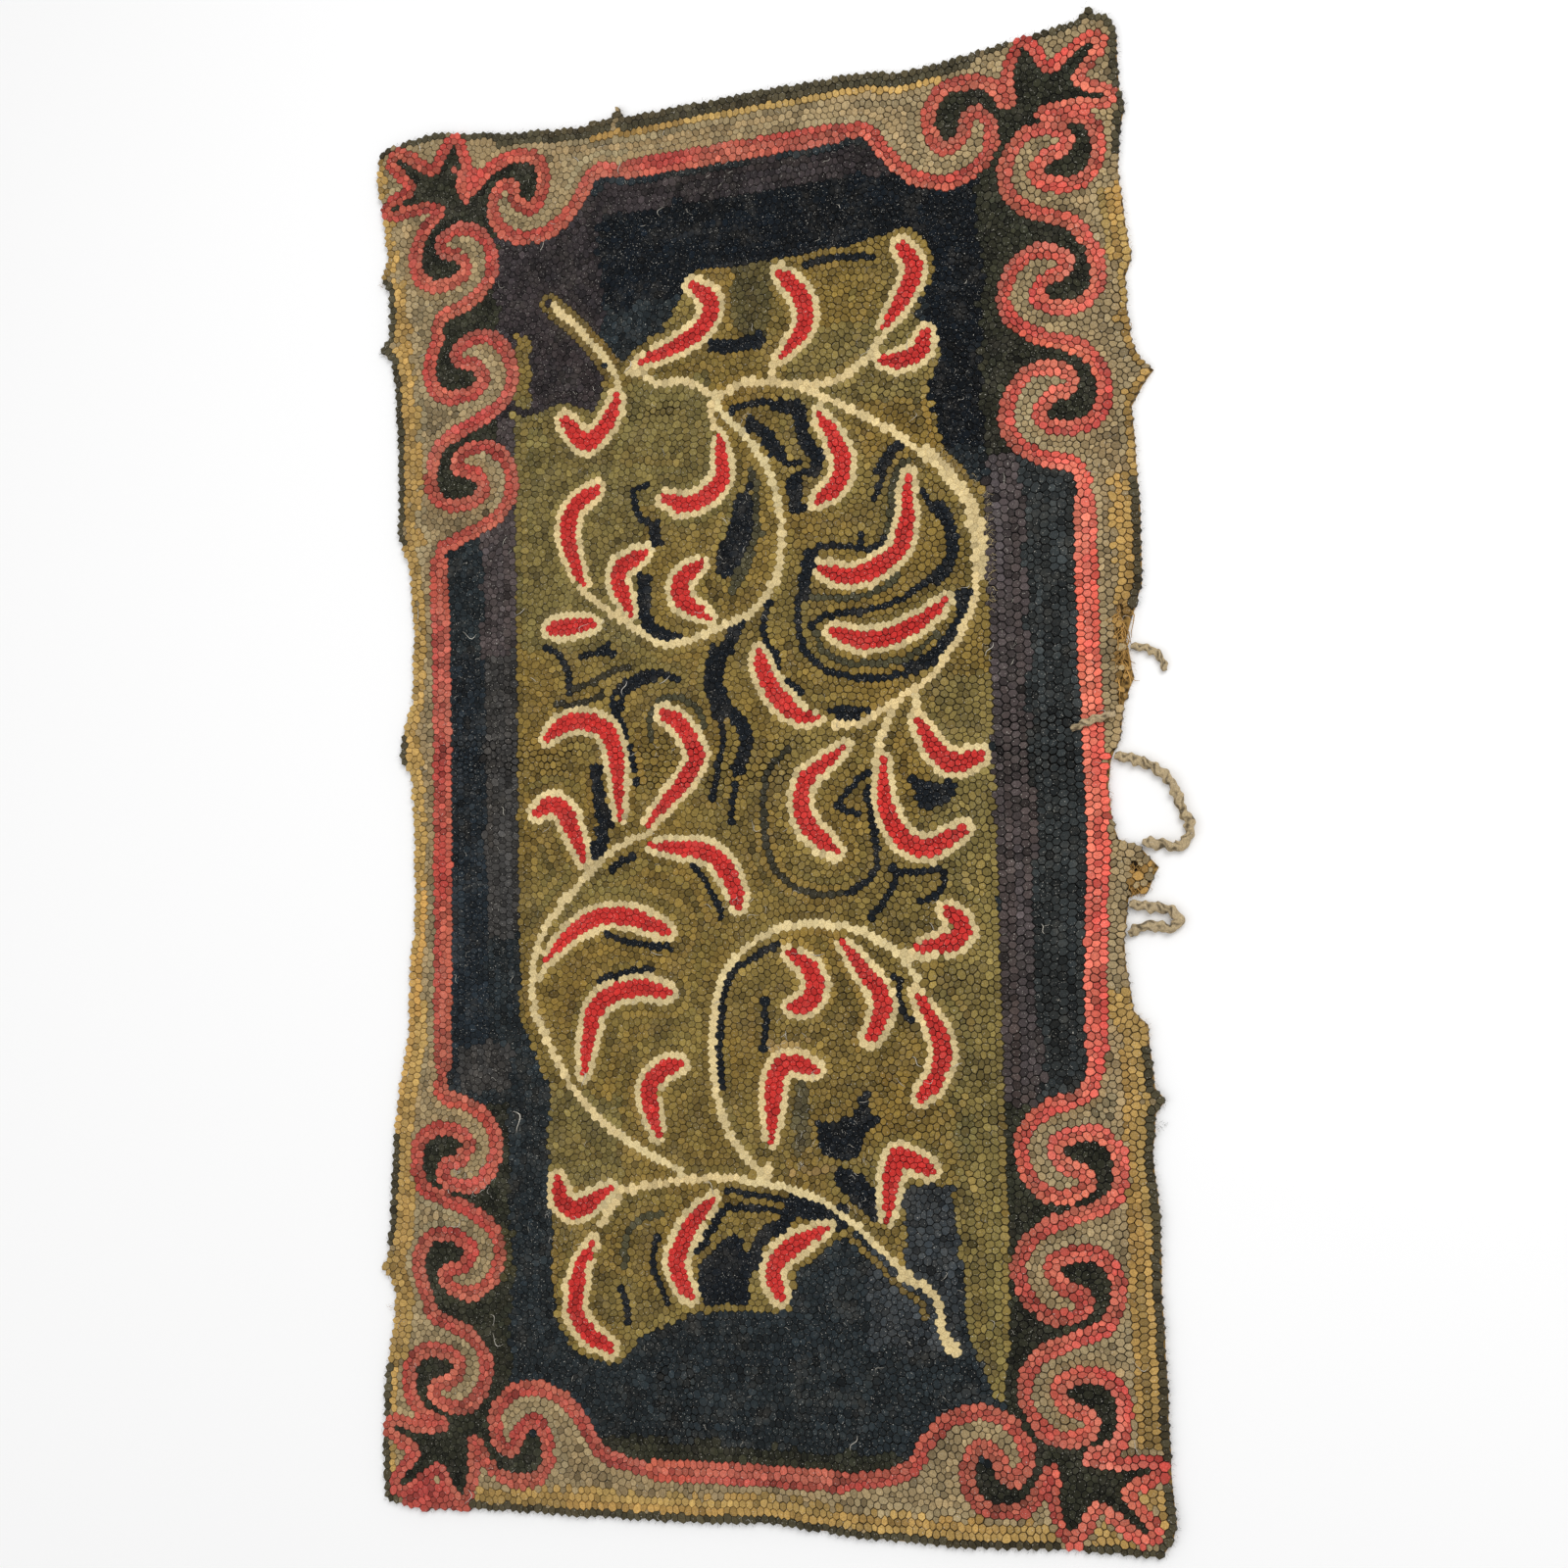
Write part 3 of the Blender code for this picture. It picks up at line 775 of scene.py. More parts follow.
# Shadow lines
# Single and double rows of navy and black wool wander through the olive beside the stems and leaves. They
# are hooked after the motifs and before the ground, and small patches of the same wool stand between them.
NAVY = "#0F151B"
SOFT_BLACK = "#47432D"
BROWN_BLACK = "#322E20"
SHADOW_LINES = (
    # colour, rows, route
    (NAVY, 2, ((-1.2, 42.8), (0.5, 42.4), (3.4, 42.7))),
    (NAVY, 1, ((0.8, 36.3), (3.5, 36.5), (5.5, 36.3))),
    (NAVY, 2, ((5.5, 36), (7.3, 35.4), (7.6, 33.6), (8, 32), (9.1, 30.6), (9.0, 29.6))),
    (NAVY, 1, ((8.6, 29.2), (7.3, 29.2), (6.2, 28.7), (6.2, 27.6))),
    (NAVY, 2, ((6.8, 28.2), (6.9, 26))),
    (NAVY, 2, ((2.6, 34.4), (4.0, 33.3), (5.0, 31.8))),
    (NAVY, 1, ((5.0, 31.8), (6.2, 30.2), (7.2, 30.1))),
    (NAVY, 1, ((-8.8, 29.6), (-9.8, 29.3), (-9.7, 28), (-9.3, 26.8), (-8.1, 25.8))),
    (NAVY, 2, ((-7.7, 25.3), (-7.5, 24.2))),
    (NAVY, 1, ((-7.8, 23.6), (-8.4, 22.8))),
    (NAVY, 1, ((-9.6, 21.4), (-9.1, 20.6))),
    (NAVY, 2, ((-8.9, 20.2), (-8.8, 18.5), (-8.9, 16.9))),
    (NAVY, 2, ((-8.6, 16.4), (-8.0, 15.3), (-6.8, 14.9))),
    (NAVY, 1, ((-6.2, 14.7), (-4.8, 14.4))),
    (NAVY, 1, ((17.6, 31), (16.3, 30), (15.7, 28.8), (15.2, 27.5), (14.7, 26.2))),
    (NAVY, 1, ((17.0, 30.9), (15.6, 29.8), (15.1, 28.8))),
    (SOFT_BLACK, 1, ((18.3, 29.3), (17.2, 29), (16.6, 27.5), (16.2, 25), (15.8, 23))),
    (NAVY, 1, ((19, 26.5), (20.3, 24.6), (21.3, 23), (21.6, 21.3), (21.3, 19.5), (20, 18.2), (17.5, 16.6),
               (15, 15.7), (12, 15.5), (9.5, 15.3), (8.2, 14.6))),
    (NAVY, 1, ((20.8, 25), (22, 23), (22.3, 21.3), (21.8, 19.2), (20.5, 17.7))),
    (NAVY, 1, ((15.3, 22), (14.5, 21.4), (12, 21.7), (9.5, 22), (8.3, 21.5))),
    (NAVY, 1, ((13.2, 22.4), (13.1, 21.9))),
    (NAVY, 2, ((8.1, 21.2), (7.6, 19.3), (7.3, 17.7))),
    (NAVY, 1, ((7, 17.2), (6.8, 15), (7, 13.8), (7.3, 12.3), (8.5, 11), (10, 10), (12.5, 9.3),
     (15, 9.1), (17.3, 9.3))),
    (NAVY, 2, ((17.6, 9.7), (19.2, 10.4), (21, 11.6))),
    (NAVY, 2, ((21.6, 12.3), (22.6, 14), (22.9, 16.2))),
    (SOFT_BLACK, 1, ((8.6, 17.2), (11, 16.9), (14, 17.1), (16.5, 18.3))),
    (SOFT_BLACK, 1, ((8.6, 13.6), (9.2, 12.2), (11, 11), (14, 10.5), (17.5, 10.9), (20, 12.7))),
    (NAVY, 1, ((3.8, 17), (3.4, 15.5), (3.3, 14), (4, 12.5), (4.5, 11), (5.3, 9.5), (6.9, 8.6))),
    (NAVY, 2, ((1, 15.4), (0.2, 14.2), (-0.3, 13.2))),
    (NAVY, 3, ((-1.2, 12.4), (-1.8, 10.8), (-1.8, 9.2), (-1.3, 7.9))),
    (NAVY, 2, ((-0.2, 7), (0.8, 5.9), (1.4, 4.6), (1.2, 3), (0.5, 1.6))),
    (NAVY, 1, ((0.1, 1), (0.1, -0.5), (-0.2, -1.8), (-0.3, -3.2))),
    (NAVY, 1, ((-1.8, 7), (-1.1, 5.8), (-0.9, 4.5), (-1.1, 3.3), (-1.5, 2), (-1.7, 0.5), (-2.1, -1))),
    (NAVY, 1, ((-5.8, 10.5), (-7, 10.9), (-8.5, 11.3), (-10, 10.8), (-11.7, 9.8), (-12.4, 8.8),
     (-12, 7.5), (-11.2, 6),
               (-10.9, 4.5), (-10.3, 3), (-10, 0.8))),
    (NAVY, 1, ((-8.2, 10.6), (-9.8, 10.1), (-11.1, 9.3), (-11.4, 8.2))),
    (SOFT_BLACK, 1, ((-8.4, 5), (-8.4, 7), (-7, 8.6), (-5, 8.4), (-3.4, 7), (-2.9, 5.7))),
    (NAVY, 2, ((-14.1, 2), (-13.9, -0.5), (-13.6, -3), (-13.8, -6.4))),
    (NAVY, 1, ((-12.9, 0.6), (-12.7, -1.2), (-12.6, -3))),
    (NAVY, 1, ((-14.8, -5), (-15.2, -7.2))),
    (NAVY, 1, ((-19.2, 14.5), (-18, 13.5), (-17, 12), (-17, 10))),
    (NAVY, 1, ((-15.5, 13.4), (-14, 13.6), (-12.8, 14.3))),
    (NAVY, 1, ((-13.4, 13.6), (-12.4, 13.5))),
    (BROWN_BLACK, 1, ((-18, 8.8), (-16, 8.7), (-14.3, 9.0), (-13.4, 9.6))),
    (BROWN_BLACK, 1, ((-16.4, 10.2), (-14.5, 10.6), (-12.5, 11.6), (-10.5, 11.9))),
    (BROWN_BLACK, 1, ((5.5, 2.8), (4, 1.8), (3.3, 0.5), (3, -1.5), (3, -4), (3.3, -6.5), (4.3, -8.7),
     (6, -10),
                     (8, -10.7), (10.5, -10.7))),
    (NAVY, 1, ((11.2, -10.5), (13, -9.7), (13.9, -8.3), (13.9, -6.5), (13.5, -4), (13.4, -1))),
    (NAVY, 1, ((13, 0.3), (12, -0.5), (11, -1.5), (10.4, -2.3))),
    (NAVY, 1, ((11, -3), (12, -3.3))),
    (NAVY, 1, ((10, 6.4), (11.5, 6.4), (13.2, 6.2))),
    (NAVY, 1, ((10.8, 5.7), (12.2, 5.6))),
    (NAVY, 1, ((15.5, -8.8), (17.5, -9), (19.8, -8.8), (20.3, -10), (19.5, -11), (18.4, -11.6))),
    (NAVY, 1, ((15.6, -9.4), (15.2, -10.5), (14.2, -11.8), (13.2, -12.8))),
    (NAVY, 1, ((-4, -7.6), (-3, -9), (-2.2, -10.5), (-1.5, -12.3))),
    (NAVY, 1, ((-12.5, -7.5), (-11.8, -6.9), (-10.6, -6.6))),
    (NAVY, 1, ((-13, -13.9), (-10.5, -14.7), (-7, -15.3))),
    (NAVY, 1, ((-14, -18.5), (-12, -17.7), (-8.8, -17.2))),
    (NAVY, 1, ((3.8, -15.3), (2.3, -16), (0.5, -17), (-0.7, -18), (-1.3, -19.5), (-1.6, -21.5), (-1.8, -24),
               (-1.8, -28.3))),
    (NAVY, 1, ((2.6, -20.8), (2.7, -23), (2.5, -24.6))),
    (NAVY, 1, ((15.6, -18.5), (15.9, -21), (16.5, -22.3))),
    (NAVY, 1, ((-1.7, -37.9), (0.5, -38.1), (3, -38.5), (5, -39.0))),
    (NAVY, 3, ((5.2, -39.3), (7, -39.6), (9.4, -40.1))),
    (NAVY, 1, ((-1.2, -39.4), (1, -39.5), (3, -39.7), (4.6, -40.1))),
    (NAVY, 1, ((-1.7, -39.6), (-2.5, -40.7), (-3.3, -42), (-4.4, -43.4))),
    (NAVY, 2, ((4, -41), (2.6, -41.6), (1.5, -42.8), (0.8, -44.4))),
    (SOFT_BLACK, 1, ((-8.3, -40.3), (-9.8, -40.5), (-11, -41.3), (-11.8, -42.7), (-12, -44.8))),
    (NAVY, 1, ((-8.8, -42.5), (-9, -45), (-7.6, -48.2))),
    (NAVY, 1, ((-12, -47.5), (-11.7, -50))),
    (NAVY, 1, ((8.5, 49.4), (11.5, 49.6), (15, 49.3))),
)
SHADOW_BLOTS = (
    # colour, ring round a patch hooked in rows of its own
    (NAVY, ((2.2, 28.6), (2.5, 25), (1.8, 22.6), (0.3, 20.1), (-1.1, 20.3), (-1.3, 22), (0.2, 25),
     (0.7, 27.4))),
    (SOFT_BLACK, ((2.3, 30.3), (3.3, 28), (3.3, 24), (1.8, 20), (0.2, 18.6), (0.2, 20), (2, 22.6),
     (2.6, 25.5))),
    (NAVY, ((17.5, -0.2), (19.5, -0.9), (21.7, -0.9), (21, -2.5), (19.5, -3.1), (18.1, -3))),
    (NAVY, ((7.7, -31.7), (10.7, -31.3), (12.4, -28.9), (12.6, -30.6), (13.6, -31.4), (12.2, -32.6),
     (11.3, -34.7),
            (9.8, -35), (7.8, -34.2))),
    (NAVY, ((9.5, -35.7), (11.5, -36.3), (13, -38), (13, -40.6), (11.6, -39.6), (9, -36.8))),
    (NAVY, ((-4.5, -45), (-2, -42.5), (-0.2, -42), (0.2, -44), (0.3, -48.3), (-4, -48.3))),
)


def beside(route, rows):
    """So many rows side by side along a route."""
    line = smooth_line(route, LINE_STEP)
    lead = np.gradient(line, axis=0)
    lead /= np.hypot(*lead.T)[:, None] + 1e-9
    square = np.column_stack([-lead[:, 1], lead[:, 0]])
    return [line + square * ROW * (k - 0.5 * (rows - 1)) for k in range(rows)]


shadows = []
for code, rows, route in SHADOW_LINES:
    bands = beside(route, rows)
    shadows += hook(bands, dyed(code), room=STEM_ROOM)
    line = smooth_line(route, LINE_STEP)
    low, high = line.min(0) - 1.5, line.max(0) + 1.5
    near = cover([low, (high[0], low[1]), high, (low[0], high[1])])
    shadows += patch(distance_to(line, near) < 0.5 * ROW * rows - 0.1, dyed(code), MOTIF_HOLE)
for code, ring in SHADOW_BLOTS:
    shadows += fill(cover(ring), dyed(code), smooth_line([*ring, ring[0]], LINE_STEP))
parts["shadow_rows"] = shadows

# Scroll line
# Two rows of rose wool snake round the rug between the dark surround and the beige edge. In each corner they
# make one volute across the end and three down the side, with pointed arms between, and they run straight
# from corner to corner.
ROSE = "#B5463E"
SALMON = "#BA6450"
ROSE_PAINTED_LIGHT = 0.34  # painted light: share by which the right side is painted lighter, as if more light falls there
RUN_PAINTED_LIGHT = 0.35  # and more painted light along its straight run
RUN_REACH = 28.0  # cm up and down from the rug's middle
VOLUTE = (
    # outwards and towards the corner, in cm from the middle of the volute
    (3.4, 3.3), (4.3, 1.0), (4.0, -1.2), (2.4, -2.5), (0.1, -2.4), (-1.5, -1.3), (-0.5, 0.4), (1.1, 0.9),
    (1.4, 1.9), (0.0, 2.9), (-2.3, 2.8), (-4.0, 1.0), (-4.5, -1.4), (-3.5, -3.5), (-1.3, -5.0), (1.6, -6.1),
)
VOLUTE_HALF = 0.42  # cm from the line's middle to the rows on its two sides
ARM_HALF = 0.30
ARMS = (
    # outwards across and up, in cm from the rug's middle
    (28.3, 61.8), (28.2, 65.0), (29.4, 67.7), (30.7, 66.8), (32.0, 64.8), (33.6, 65.7), (36.0, 67.2),
    (37.0, 66.3), (35.7, 64.6), (34.6, 63.3), (35.8, 62.5), (37.6, 61.5), (36.8, 60.5), (33.8, 60.9),
    (31.2, 60.6),
)
END_TAIL = ((1.2, -8.3), (-1.4, -6.4), (-3.6, -4.2))  # an end volute runs on before it turns straight
CORNERS = (
    # across, up, arms' shift, end volute, side volutes from the corner: middle across and up, size
    (1, 1, (0.4, 0.0), (23.7, 60.2, 1.06), ((32.4, 56.0, 1.0), (32.0, 44.5, 1.0), (32.0, 33.4, 1.04))),
    (1, -1, (0.2, -0.3), (23.2, 61.2, 0.96), ((30.6, 55.8, 1.0), (30.4, 45.4, 1.0), (31.0, 35.0, 1.0))),
    (-1, -1, (-0.2, 0.2), (22.7, 61.3, 1.0), ((30.9, 56.2, 0.96), (29.6, 45.2, 1.0), (29.8, 35.0, 1.0))),
    (-1, 1, (-0.4, 0.3), (21.7, 60.8, 1.0), ((29.4, 55.3, 1.0), (27.6, 43.6, 1.07), (27.6, 32.4, 1.04))),
)
ROSE_BLOTS = (
    # rings round the spots where rose wool fills the whole bend
    ((-29.4, 64.8), (-26.2, 64.2), (-26.6, 62.6), (-28.1, 60.9)),
    ((-35.5, -68.2), (-33, -65.4), (-31.8, -67.0), (-28.8, -67.0), (-28.8, -68.7), (-35, -68.7)),
)
STRAIGHT_RUNS = (
    # the rose line's middle between the corners: right, bottom, left, top
    ((34.3, 24), (34.2, 10), (34.4, -5), (33.9, -15), (33.6, -25)),
    ((9, -63.7), (0, -63.6), (-9, -63.7)),
    ((-31.1, -26), (-31.0, -10), (-31.0, 10), (-31.2, 24)),
    ((-10, 61.8), (0, 61.8), (12, 61.9)),
)


def corner_route(across, up, shift, end, sides):
    """The scroll line through one corner, from the end of the rug to its side, and its arms alone."""
    x, y, size = end
    arms = [(u + shift[0], v + shift[1]) for u, v in ARMS]
    route = [(x + size * v, y + size * u) for u, v in (*END_TAIL, *VOLUTE[-4::-1])] + arms
    for x, y, size in sides:
        route += [(x + size * u, y + size * v) for u, v in VOLUTE]
    return [(across * u, up * v) for u, v in route], [(across * u, up * v) for u, v in arms]


corners = [corner_route(*corner) for corner in CORNERS]
scroll_route = []
for k, ((corner, _), run) in enumerate(zip(corners, STRAIGHT_RUNS)):
    scroll_route += (corner if k % 2 == 0 else corner[::-1]) + list(run)
scroll = smooth_line(scroll_route, LINE_STEP, closed=True)
scrolled = cover(scroll)
runs = [smooth_line(run, LINE_STEP) for run in STRAIGHT_RUNS]
arm_lines = np.vstack([smooth_line(arms, LINE_STEP) for _, arms in corners])
arm_tree = tree_of(arm_lines)
thick = np.array([p for p in scroll if arm_tree.find((p[0], p[1], 0.0))[2] > 0.3])


def rose_dye(x, y):
    """Redder outside the line's middle and more salmon inside, with painted light that makes the right side
    lighter.
    """
    blend = 0.5 + 0.7 * noise.noise((x / 5.0, y / 5.0, 7.3)) + (0.3 if in_part(scrolled, x, y) else -0.2)
    blend = min(1.0, max(0.0, blend))
    # Painted light: the line is painted lighter towards the right side.
    fade = ROSE_PAINTED_LIGHT + (RUN_PAINTED_LIGHT if abs(y) < RUN_REACH else 0.0)
    lit_right = 1.0 + fade * min(1.0, max(0.0, (x - 26.0) / 6.0))
    return lit_right * (linear(ROSE) * (1 - blend) + linear(SALMON) * blend)


near_scroll = grown(cover(outline), 1)
arm_far = distance_to(arm_lines, near_scroll) + VOLUTE_HALF - ARM_HALF
scroll_far = np.fmin(distance_to(thick, near_scroll), arm_far)
run_far = distance_to(np.vstack(runs), near_scroll)
rose = hook(runs, rose_dye)
rose += hook(contours(run_far, ROW), rose_dye)
rose += hook(contours(scroll_far, VOLUTE_HALF), rose_dye, pitch=0.72)
for ring in ROSE_BLOTS:
    rose += fill(cover(ring), rose_dye)
rose += patch((scroll_far < VOLUTE_HALF + 0.1) | (run_far < ROW), rose_dye, 0.45)
rose_band = (scroll_far < VOLUTE_HALF) | (run_far < ROW)
parts["scroll_rows"] = rose

# Edge rows
# The outermost rows follow the rug's own edge: dark olive wool where any is left, then gold. The maker ran
# out of each here and there, so their widths change along the sides.
EDGE_DARK = "#4C4531"
EDGE_GOLD = "#B69354"
EDGE_FIRST = 0.30  # cm from the cloth's edge to the outermost row
EDGE_BANDS = (
    # side, from, to, width of the dark rows, width of the gold rows, in cm
    ("top", -40, -24, 0.7, 0.0),
    ("top", -24, -14, 1.2, 0.0),
    ("top", -14, 25, 1.2, 0.9),
    ("top", 25, 40, 0.7, 0.0),
    ("right", 56, 70, 0.7, 0.0),
    ("right", 53, 56, 0.0, 0.0),
    ("right", 46, 53, 0.0, 2.2),
    ("right", 26, 46, 0.0, 0.9),
    ("right", 14, 26, 0.7, 1.7),
    ("right", -20, 14, 0.0, 0.0),
    ("right", -25, -20, 0.0, 1.8),
    ("right", -70, -25, 0.8, 1.8),
    ("bottom", -40, 40, 0.8, 1.6),
    ("left", -70, -55, 0.7, 0.8),
    ("left", -55, -44, 0.0, 2.2),
    ("left", -44, -33, 0.6, 2.2),
    ("left", -33, -20, 0.0, 1.8),
    ("left", -20, 3.6, 0.0, 1.3),
    ("left", 3.6, 6.6, 0.7, 1.6),
    ("left", 6.6, 26, 0.0, 1.3),
    ("left", 26, 54, 0.6, 1.8),
    ("left", 54, 70, 0.0, 1.0),
)


def side_of(x, y):
    if abs(y) - 69 > abs(x) - 39:
        return ("top" if y > 0 else "bottom"), x
    return ("right" if x > 0 else "left"), y


def edge_widths(x, y):
    side, reach = side_of(x, y)
    for name, low, high, dark, gold in EDGE_BANDS:
        if name == side and low <= reach < high:
            return dark, gold
    return 0.0, 0.0


rug = cover(outline)
edge_line = smooth_line(outline, LINE_STEP, closed=True)
edge_far = distance_to(edge_line, grown(rug & ~scrolled, 2))
edge_rows = [contours(np.where(rug, edge_far, np.nan), EDGE_FIRST + k * ROW) for k in range(4)]
dark_edge = np.zeros_like(rug)
gold_edge = np.zeros_like(rug)
for j, i in zip(*np.nonzero(rug & ~scrolled)):
    dark, gold = edge_widths(grid_x[i], grid_y[j])
    dark_edge[j, i] = edge_far[j, i] < dark
    gold_edge[j, i] = dark <= edge_far[j, i] < dark + gold
edging = []
for rows in edge_rows:
    edging += hook(rows, dyed(EDGE_DARK), dark_edge)
for rows in edge_rows:
    edging += hook(rows, dyed(EDGE_GOLD), gold_edge)
parts["edge_rows"] = edging

# Beige border
# Beige and taupe wool fills the edge between the rose line and the outer rows, in rows that echo both. On
# the right it has worn away in three places, which keep only ragged loops.
BEIGE = "#A38E67"
TAUPE = "#9A8561"


def beige_dye(x, y):
    blend = 0.5 + 0.5 * noise.noise((x / 5.0, y / 5.0, 2.1))
    return linear(BEIGE) * (1 - blend) + linear(TAUPE) * blend


BARE_PATCHES = (
    # low and high across, low and high up, where the pile has gone
    (36.5, 40.0, 5.4, 14.6),
    (35.6, 37.0, -6.4, -0.9),
    (37.0, 40.0, -12.0, -8.8),
)
RAGGED_STEP = 0.62  # cm between the places of the ragged loops left in them
RAGGED_SHARE = 0.5  # of the places that still have a loop
TORN_GOLD = "#A98347"
beige_part = rug & ~scrolled & ~rose_band & ~(edge_far < EDGE_FIRST - 0.1)
for low_x, high_x, low_y, high_y in BARE_PATCHES:
    across = (grid_x >= low_x) & (grid_x <= high_x)
    up = (grid_y >= low_y) & (grid_y <= high_y)
    beige_part &= ~(across[None, :] & up[:, None])
beige = hook(edge_rows[0], beige_dye, beige_part & ~dark_edge & ~gold_edge)
beige += fill(beige_part, beige_dye)
for low_x, high_x, low_y, high_y in BARE_PATCHES:
    for x in np.arange(low_x, high_x, RAGGED_STEP):
        for y in np.arange(low_y, high_y, RAGGED_STEP):
            if in_part(rug, x, y) and rng.uniform() < RAGGED_SHARE:
                colour = linear(TORN_GOLD if rng.uniform() < 0.6 else BEIGE) * rng.uniform(0.6, 1.2)
                ragged = (x + rng.normal(0.0, 0.1), y + rng.normal(0.0, 0.1))
                taken.setdefault((math.floor(x), math.floor(y)), []).append(ragged)
                beige.append((*ragged, *colour))
parts["beige_rows"] = beige

# Olive ground
# Olive wool of several dye lots fills the middle, greener towards the left. It is hooked in rows that echo
# the vine, outwards from each motif, until they meet.
OLIVE = "#836B31"
GREEN_OLIVE = "#7B6C3B"
DARK_OLIVE = "#3F3A22"
STRIP_OLIVE = "#82713D"
WORN_TAN = "#A98A55"
SMUDGED_OLIVE = "#4C4632"
OLIVE_OUTLINE = (
    (-22.6, 38.3), (-22.6, -16), (-22.5, -22), (-19.5, -28), (-19.4, -40), (-19.3, -50), (-17.5, -53),
    (-13, -54.2), (-10, -51.3), (-5, -49.2), (4.5, -48.5), (5, -45), (8, -43), (11, -41.4), (16, -46.2),
    (15.5, -44), (15.5, -37), (20.3, -37), (21.3, -50), (24, -55.8), (25, -50), (25, 26), (21, 30.5),
    (20, 36), (21.3, 39), (20.8, 41.7), (18.6, 43), (21, 47), (20, 50.6), (18, 51.5), (12, 50.6),
    (4.5, 50.3), (0, 50.2), (-3, 50.4), (-4.2, 48.5), (-6.5, 44.7), (-10.5, 42.7), (-13, 39.8),
    (-13.5, 37.5), (-17, 38.8), (-20.5, 38),
)
OLIVE_LOTS = (
    # low and high across, low and high up, colour
    (-22.6, -9.0, 14.0, 38.5, GREEN_OLIVE),
    (-22.6, -2.0, 28.0, 40.0, GREEN_OLIVE),
    (19.5, 25.5, -30.0, 9.0, STRIP_OLIVE),
    (6.0, 22.0, 35.0, 43.0, STRIP_OLIVE),
    (-22.6, -12.0, -38.0, -29.0, GREEN_OLIVE),
    (0.8, 4.8, 43.5, 50.5, DARK_OLIVE),
    (20.3, 25.0, -56.0, -30.0, STRIP_OLIVE),
    (5.4, 6.6, -34.5, -28.0, SMUDGED_OLIVE),
    (3.0, 7.0, -24.9, -24.2, WORN_TAN),
    (5.0, 9.0, -36.3, -35.6, WORN_TAN),
)
OLIVE_STRIP = ((-22.2, 46.5), (-21.0, 45.8), (-20.9, 39.0), (-22.3, 39.0))
olive = cover(OLIVE_OUTLINE) | cover(OLIVE_STRIP)
olive_line = smooth_line([*OLIVE_OUTLINE, OLIVE_OUTLINE[0]], LINE_STEP)


def lot_at(lots, x, y, plain):
    """The colour of the dye lot used at a place. Later lots in a table lie over earlier ones."""
    found = plain
    for low_x, high_x, low_y, high_y, colour in lots:
        wander = 0.8 * noise.noise((x / 3.0, y / 3.0, 4.0))
        if low_x <= x + wander <= high_x and low_y <= y + wander <= high_y:
            found = colour
    return linear(found)


def olive_dye(x, y):
    blend = min(1.0, max(0.0, 0.3 + 0.6 * noise.noise((x / 7.0, y / 7.0, 1.7))))
    wear = 1.0 + 0.34 * noise.noise((x / 1.8, y / 1.8, 5.1))
    return wear * (lot_at(OLIVE_LOTS, x, y, OLIVE) * (1 - blend) + linear(GREEN_OLIVE) * blend)


olive_upper = olive & (grid_y[:, None] >= -2.0)
olive_lower = olive & (grid_y[:, None] < -2.0)
parts["olive_rows_upper"] = fill(olive_upper, olive_dye, olive_line)
parts["olive_rows_lower"] = fill(olive_lower, olive_dye, olive_line)

# Dark surround
# Navy, charcoal, purple and green-black wool lies between the olive and the rose line. The maker hooked it
# in blocks, each as far as one lot of rags went.
CHARCOAL = "#20272A"
DEEP_NAVY = "#070F16"
PURPLE = "#322B2C"
WORN_PURPLE = "#483F3E"
WORN_STONE = "#3B3937"
WORN_CHARCOAL = "#2C3030"
WORN_GREY = "#34393C"
GREEN_BLACK = "#2B2B1E"
LEFT_NAVY = "#1A2228"
DARK_LOTS = (
    # low and high across, low and high up, colour
    (-30.0, 26.0, 48.0, 58.0, DEEP_NAVY),
    (-30.0, 30.0, 57.4, 60.2, PURPLE),
    (-25.5, -13.0, 38.0, 57.5, PURPLE),
    (-30.5, -26.2, -28.0, 14.0, LEFT_NAVY),
    (-26.2, -22.0, 14.0, 38.0, WORN_PURPLE),
    (-26.2, -22.0, -14.0, 14.0, WORN_STONE),
    (-29.0, -24.0, -28.5, -24.0, WORN_STONE),
    (28.5, 34.0, -31.0, 29.0, WORN_CHARCOAL),
    (25.0, 28.5, -31.0, 29.0, WORN_PURPLE),
    (12.0, 20.5, -52.0, -36.0, WORN_GREY),
    (20.0, 25.6, 30.0, 56.0, DEEP_NAVY),
    (25.3, 40.0, 29.0, 70.0, GREEN_BLACK),
    (24.5, 40.0, -70.0, -30.0, GREEN_BLACK),
    (-40.0, -24.6, 30.0, 70.0, GREEN_BLACK),
    (-40.0, -24.0, -70.0, -30.0, GREEN_BLACK),
    (-40.0, 40.0, 61.5, 70.0, GREEN_BLACK),
    (-25.0, -18.5, 58.8, 62.0, GREEN_BLACK),
    (20.5, 26.5, 58.8, 62.0, GREEN_BLACK),
    (-40.0, 40.0, -70.0, -61.0, GREEN_BLACK),
    (-25.0, -23.5, -47.0, -42.0, DARK_OLIVE),
)


def dark_dye(x, y):
    wear = 1.0 + 0.3 * noise.noise((x / 6.0, y / 6.0, 9.4)) + 0.4 * noise.noise((x / 1.6, y / 1.6, 2.2))
    return lot_at(DARK_LOTS, x, y, CHARCOAL) * max(0.3, wear + rng.normal(0.0, 0.2))


dark = rug & scrolled & ~olive & ~rose_band
dark_right = dark & (grid_x[None, :] > 25.0) & (np.abs(grid_y) < 32.0)[:, None]
dark_upper = dark & ~dark_right & (grid_y[:, None] >= 5.0)
dark_lower = dark & ~dark_right & (grid_y[:, None] < 5.0)
parts["dark_rows_right"] = fill(dark_right, dark_dye, olive_line, 0.76, 0.74)
parts["dark_rows_upper"] = fill(dark_upper, dark_dye, olive_line)
parts["dark_rows_lower"] = fill(dark_lower, dark_dye, olive_line)

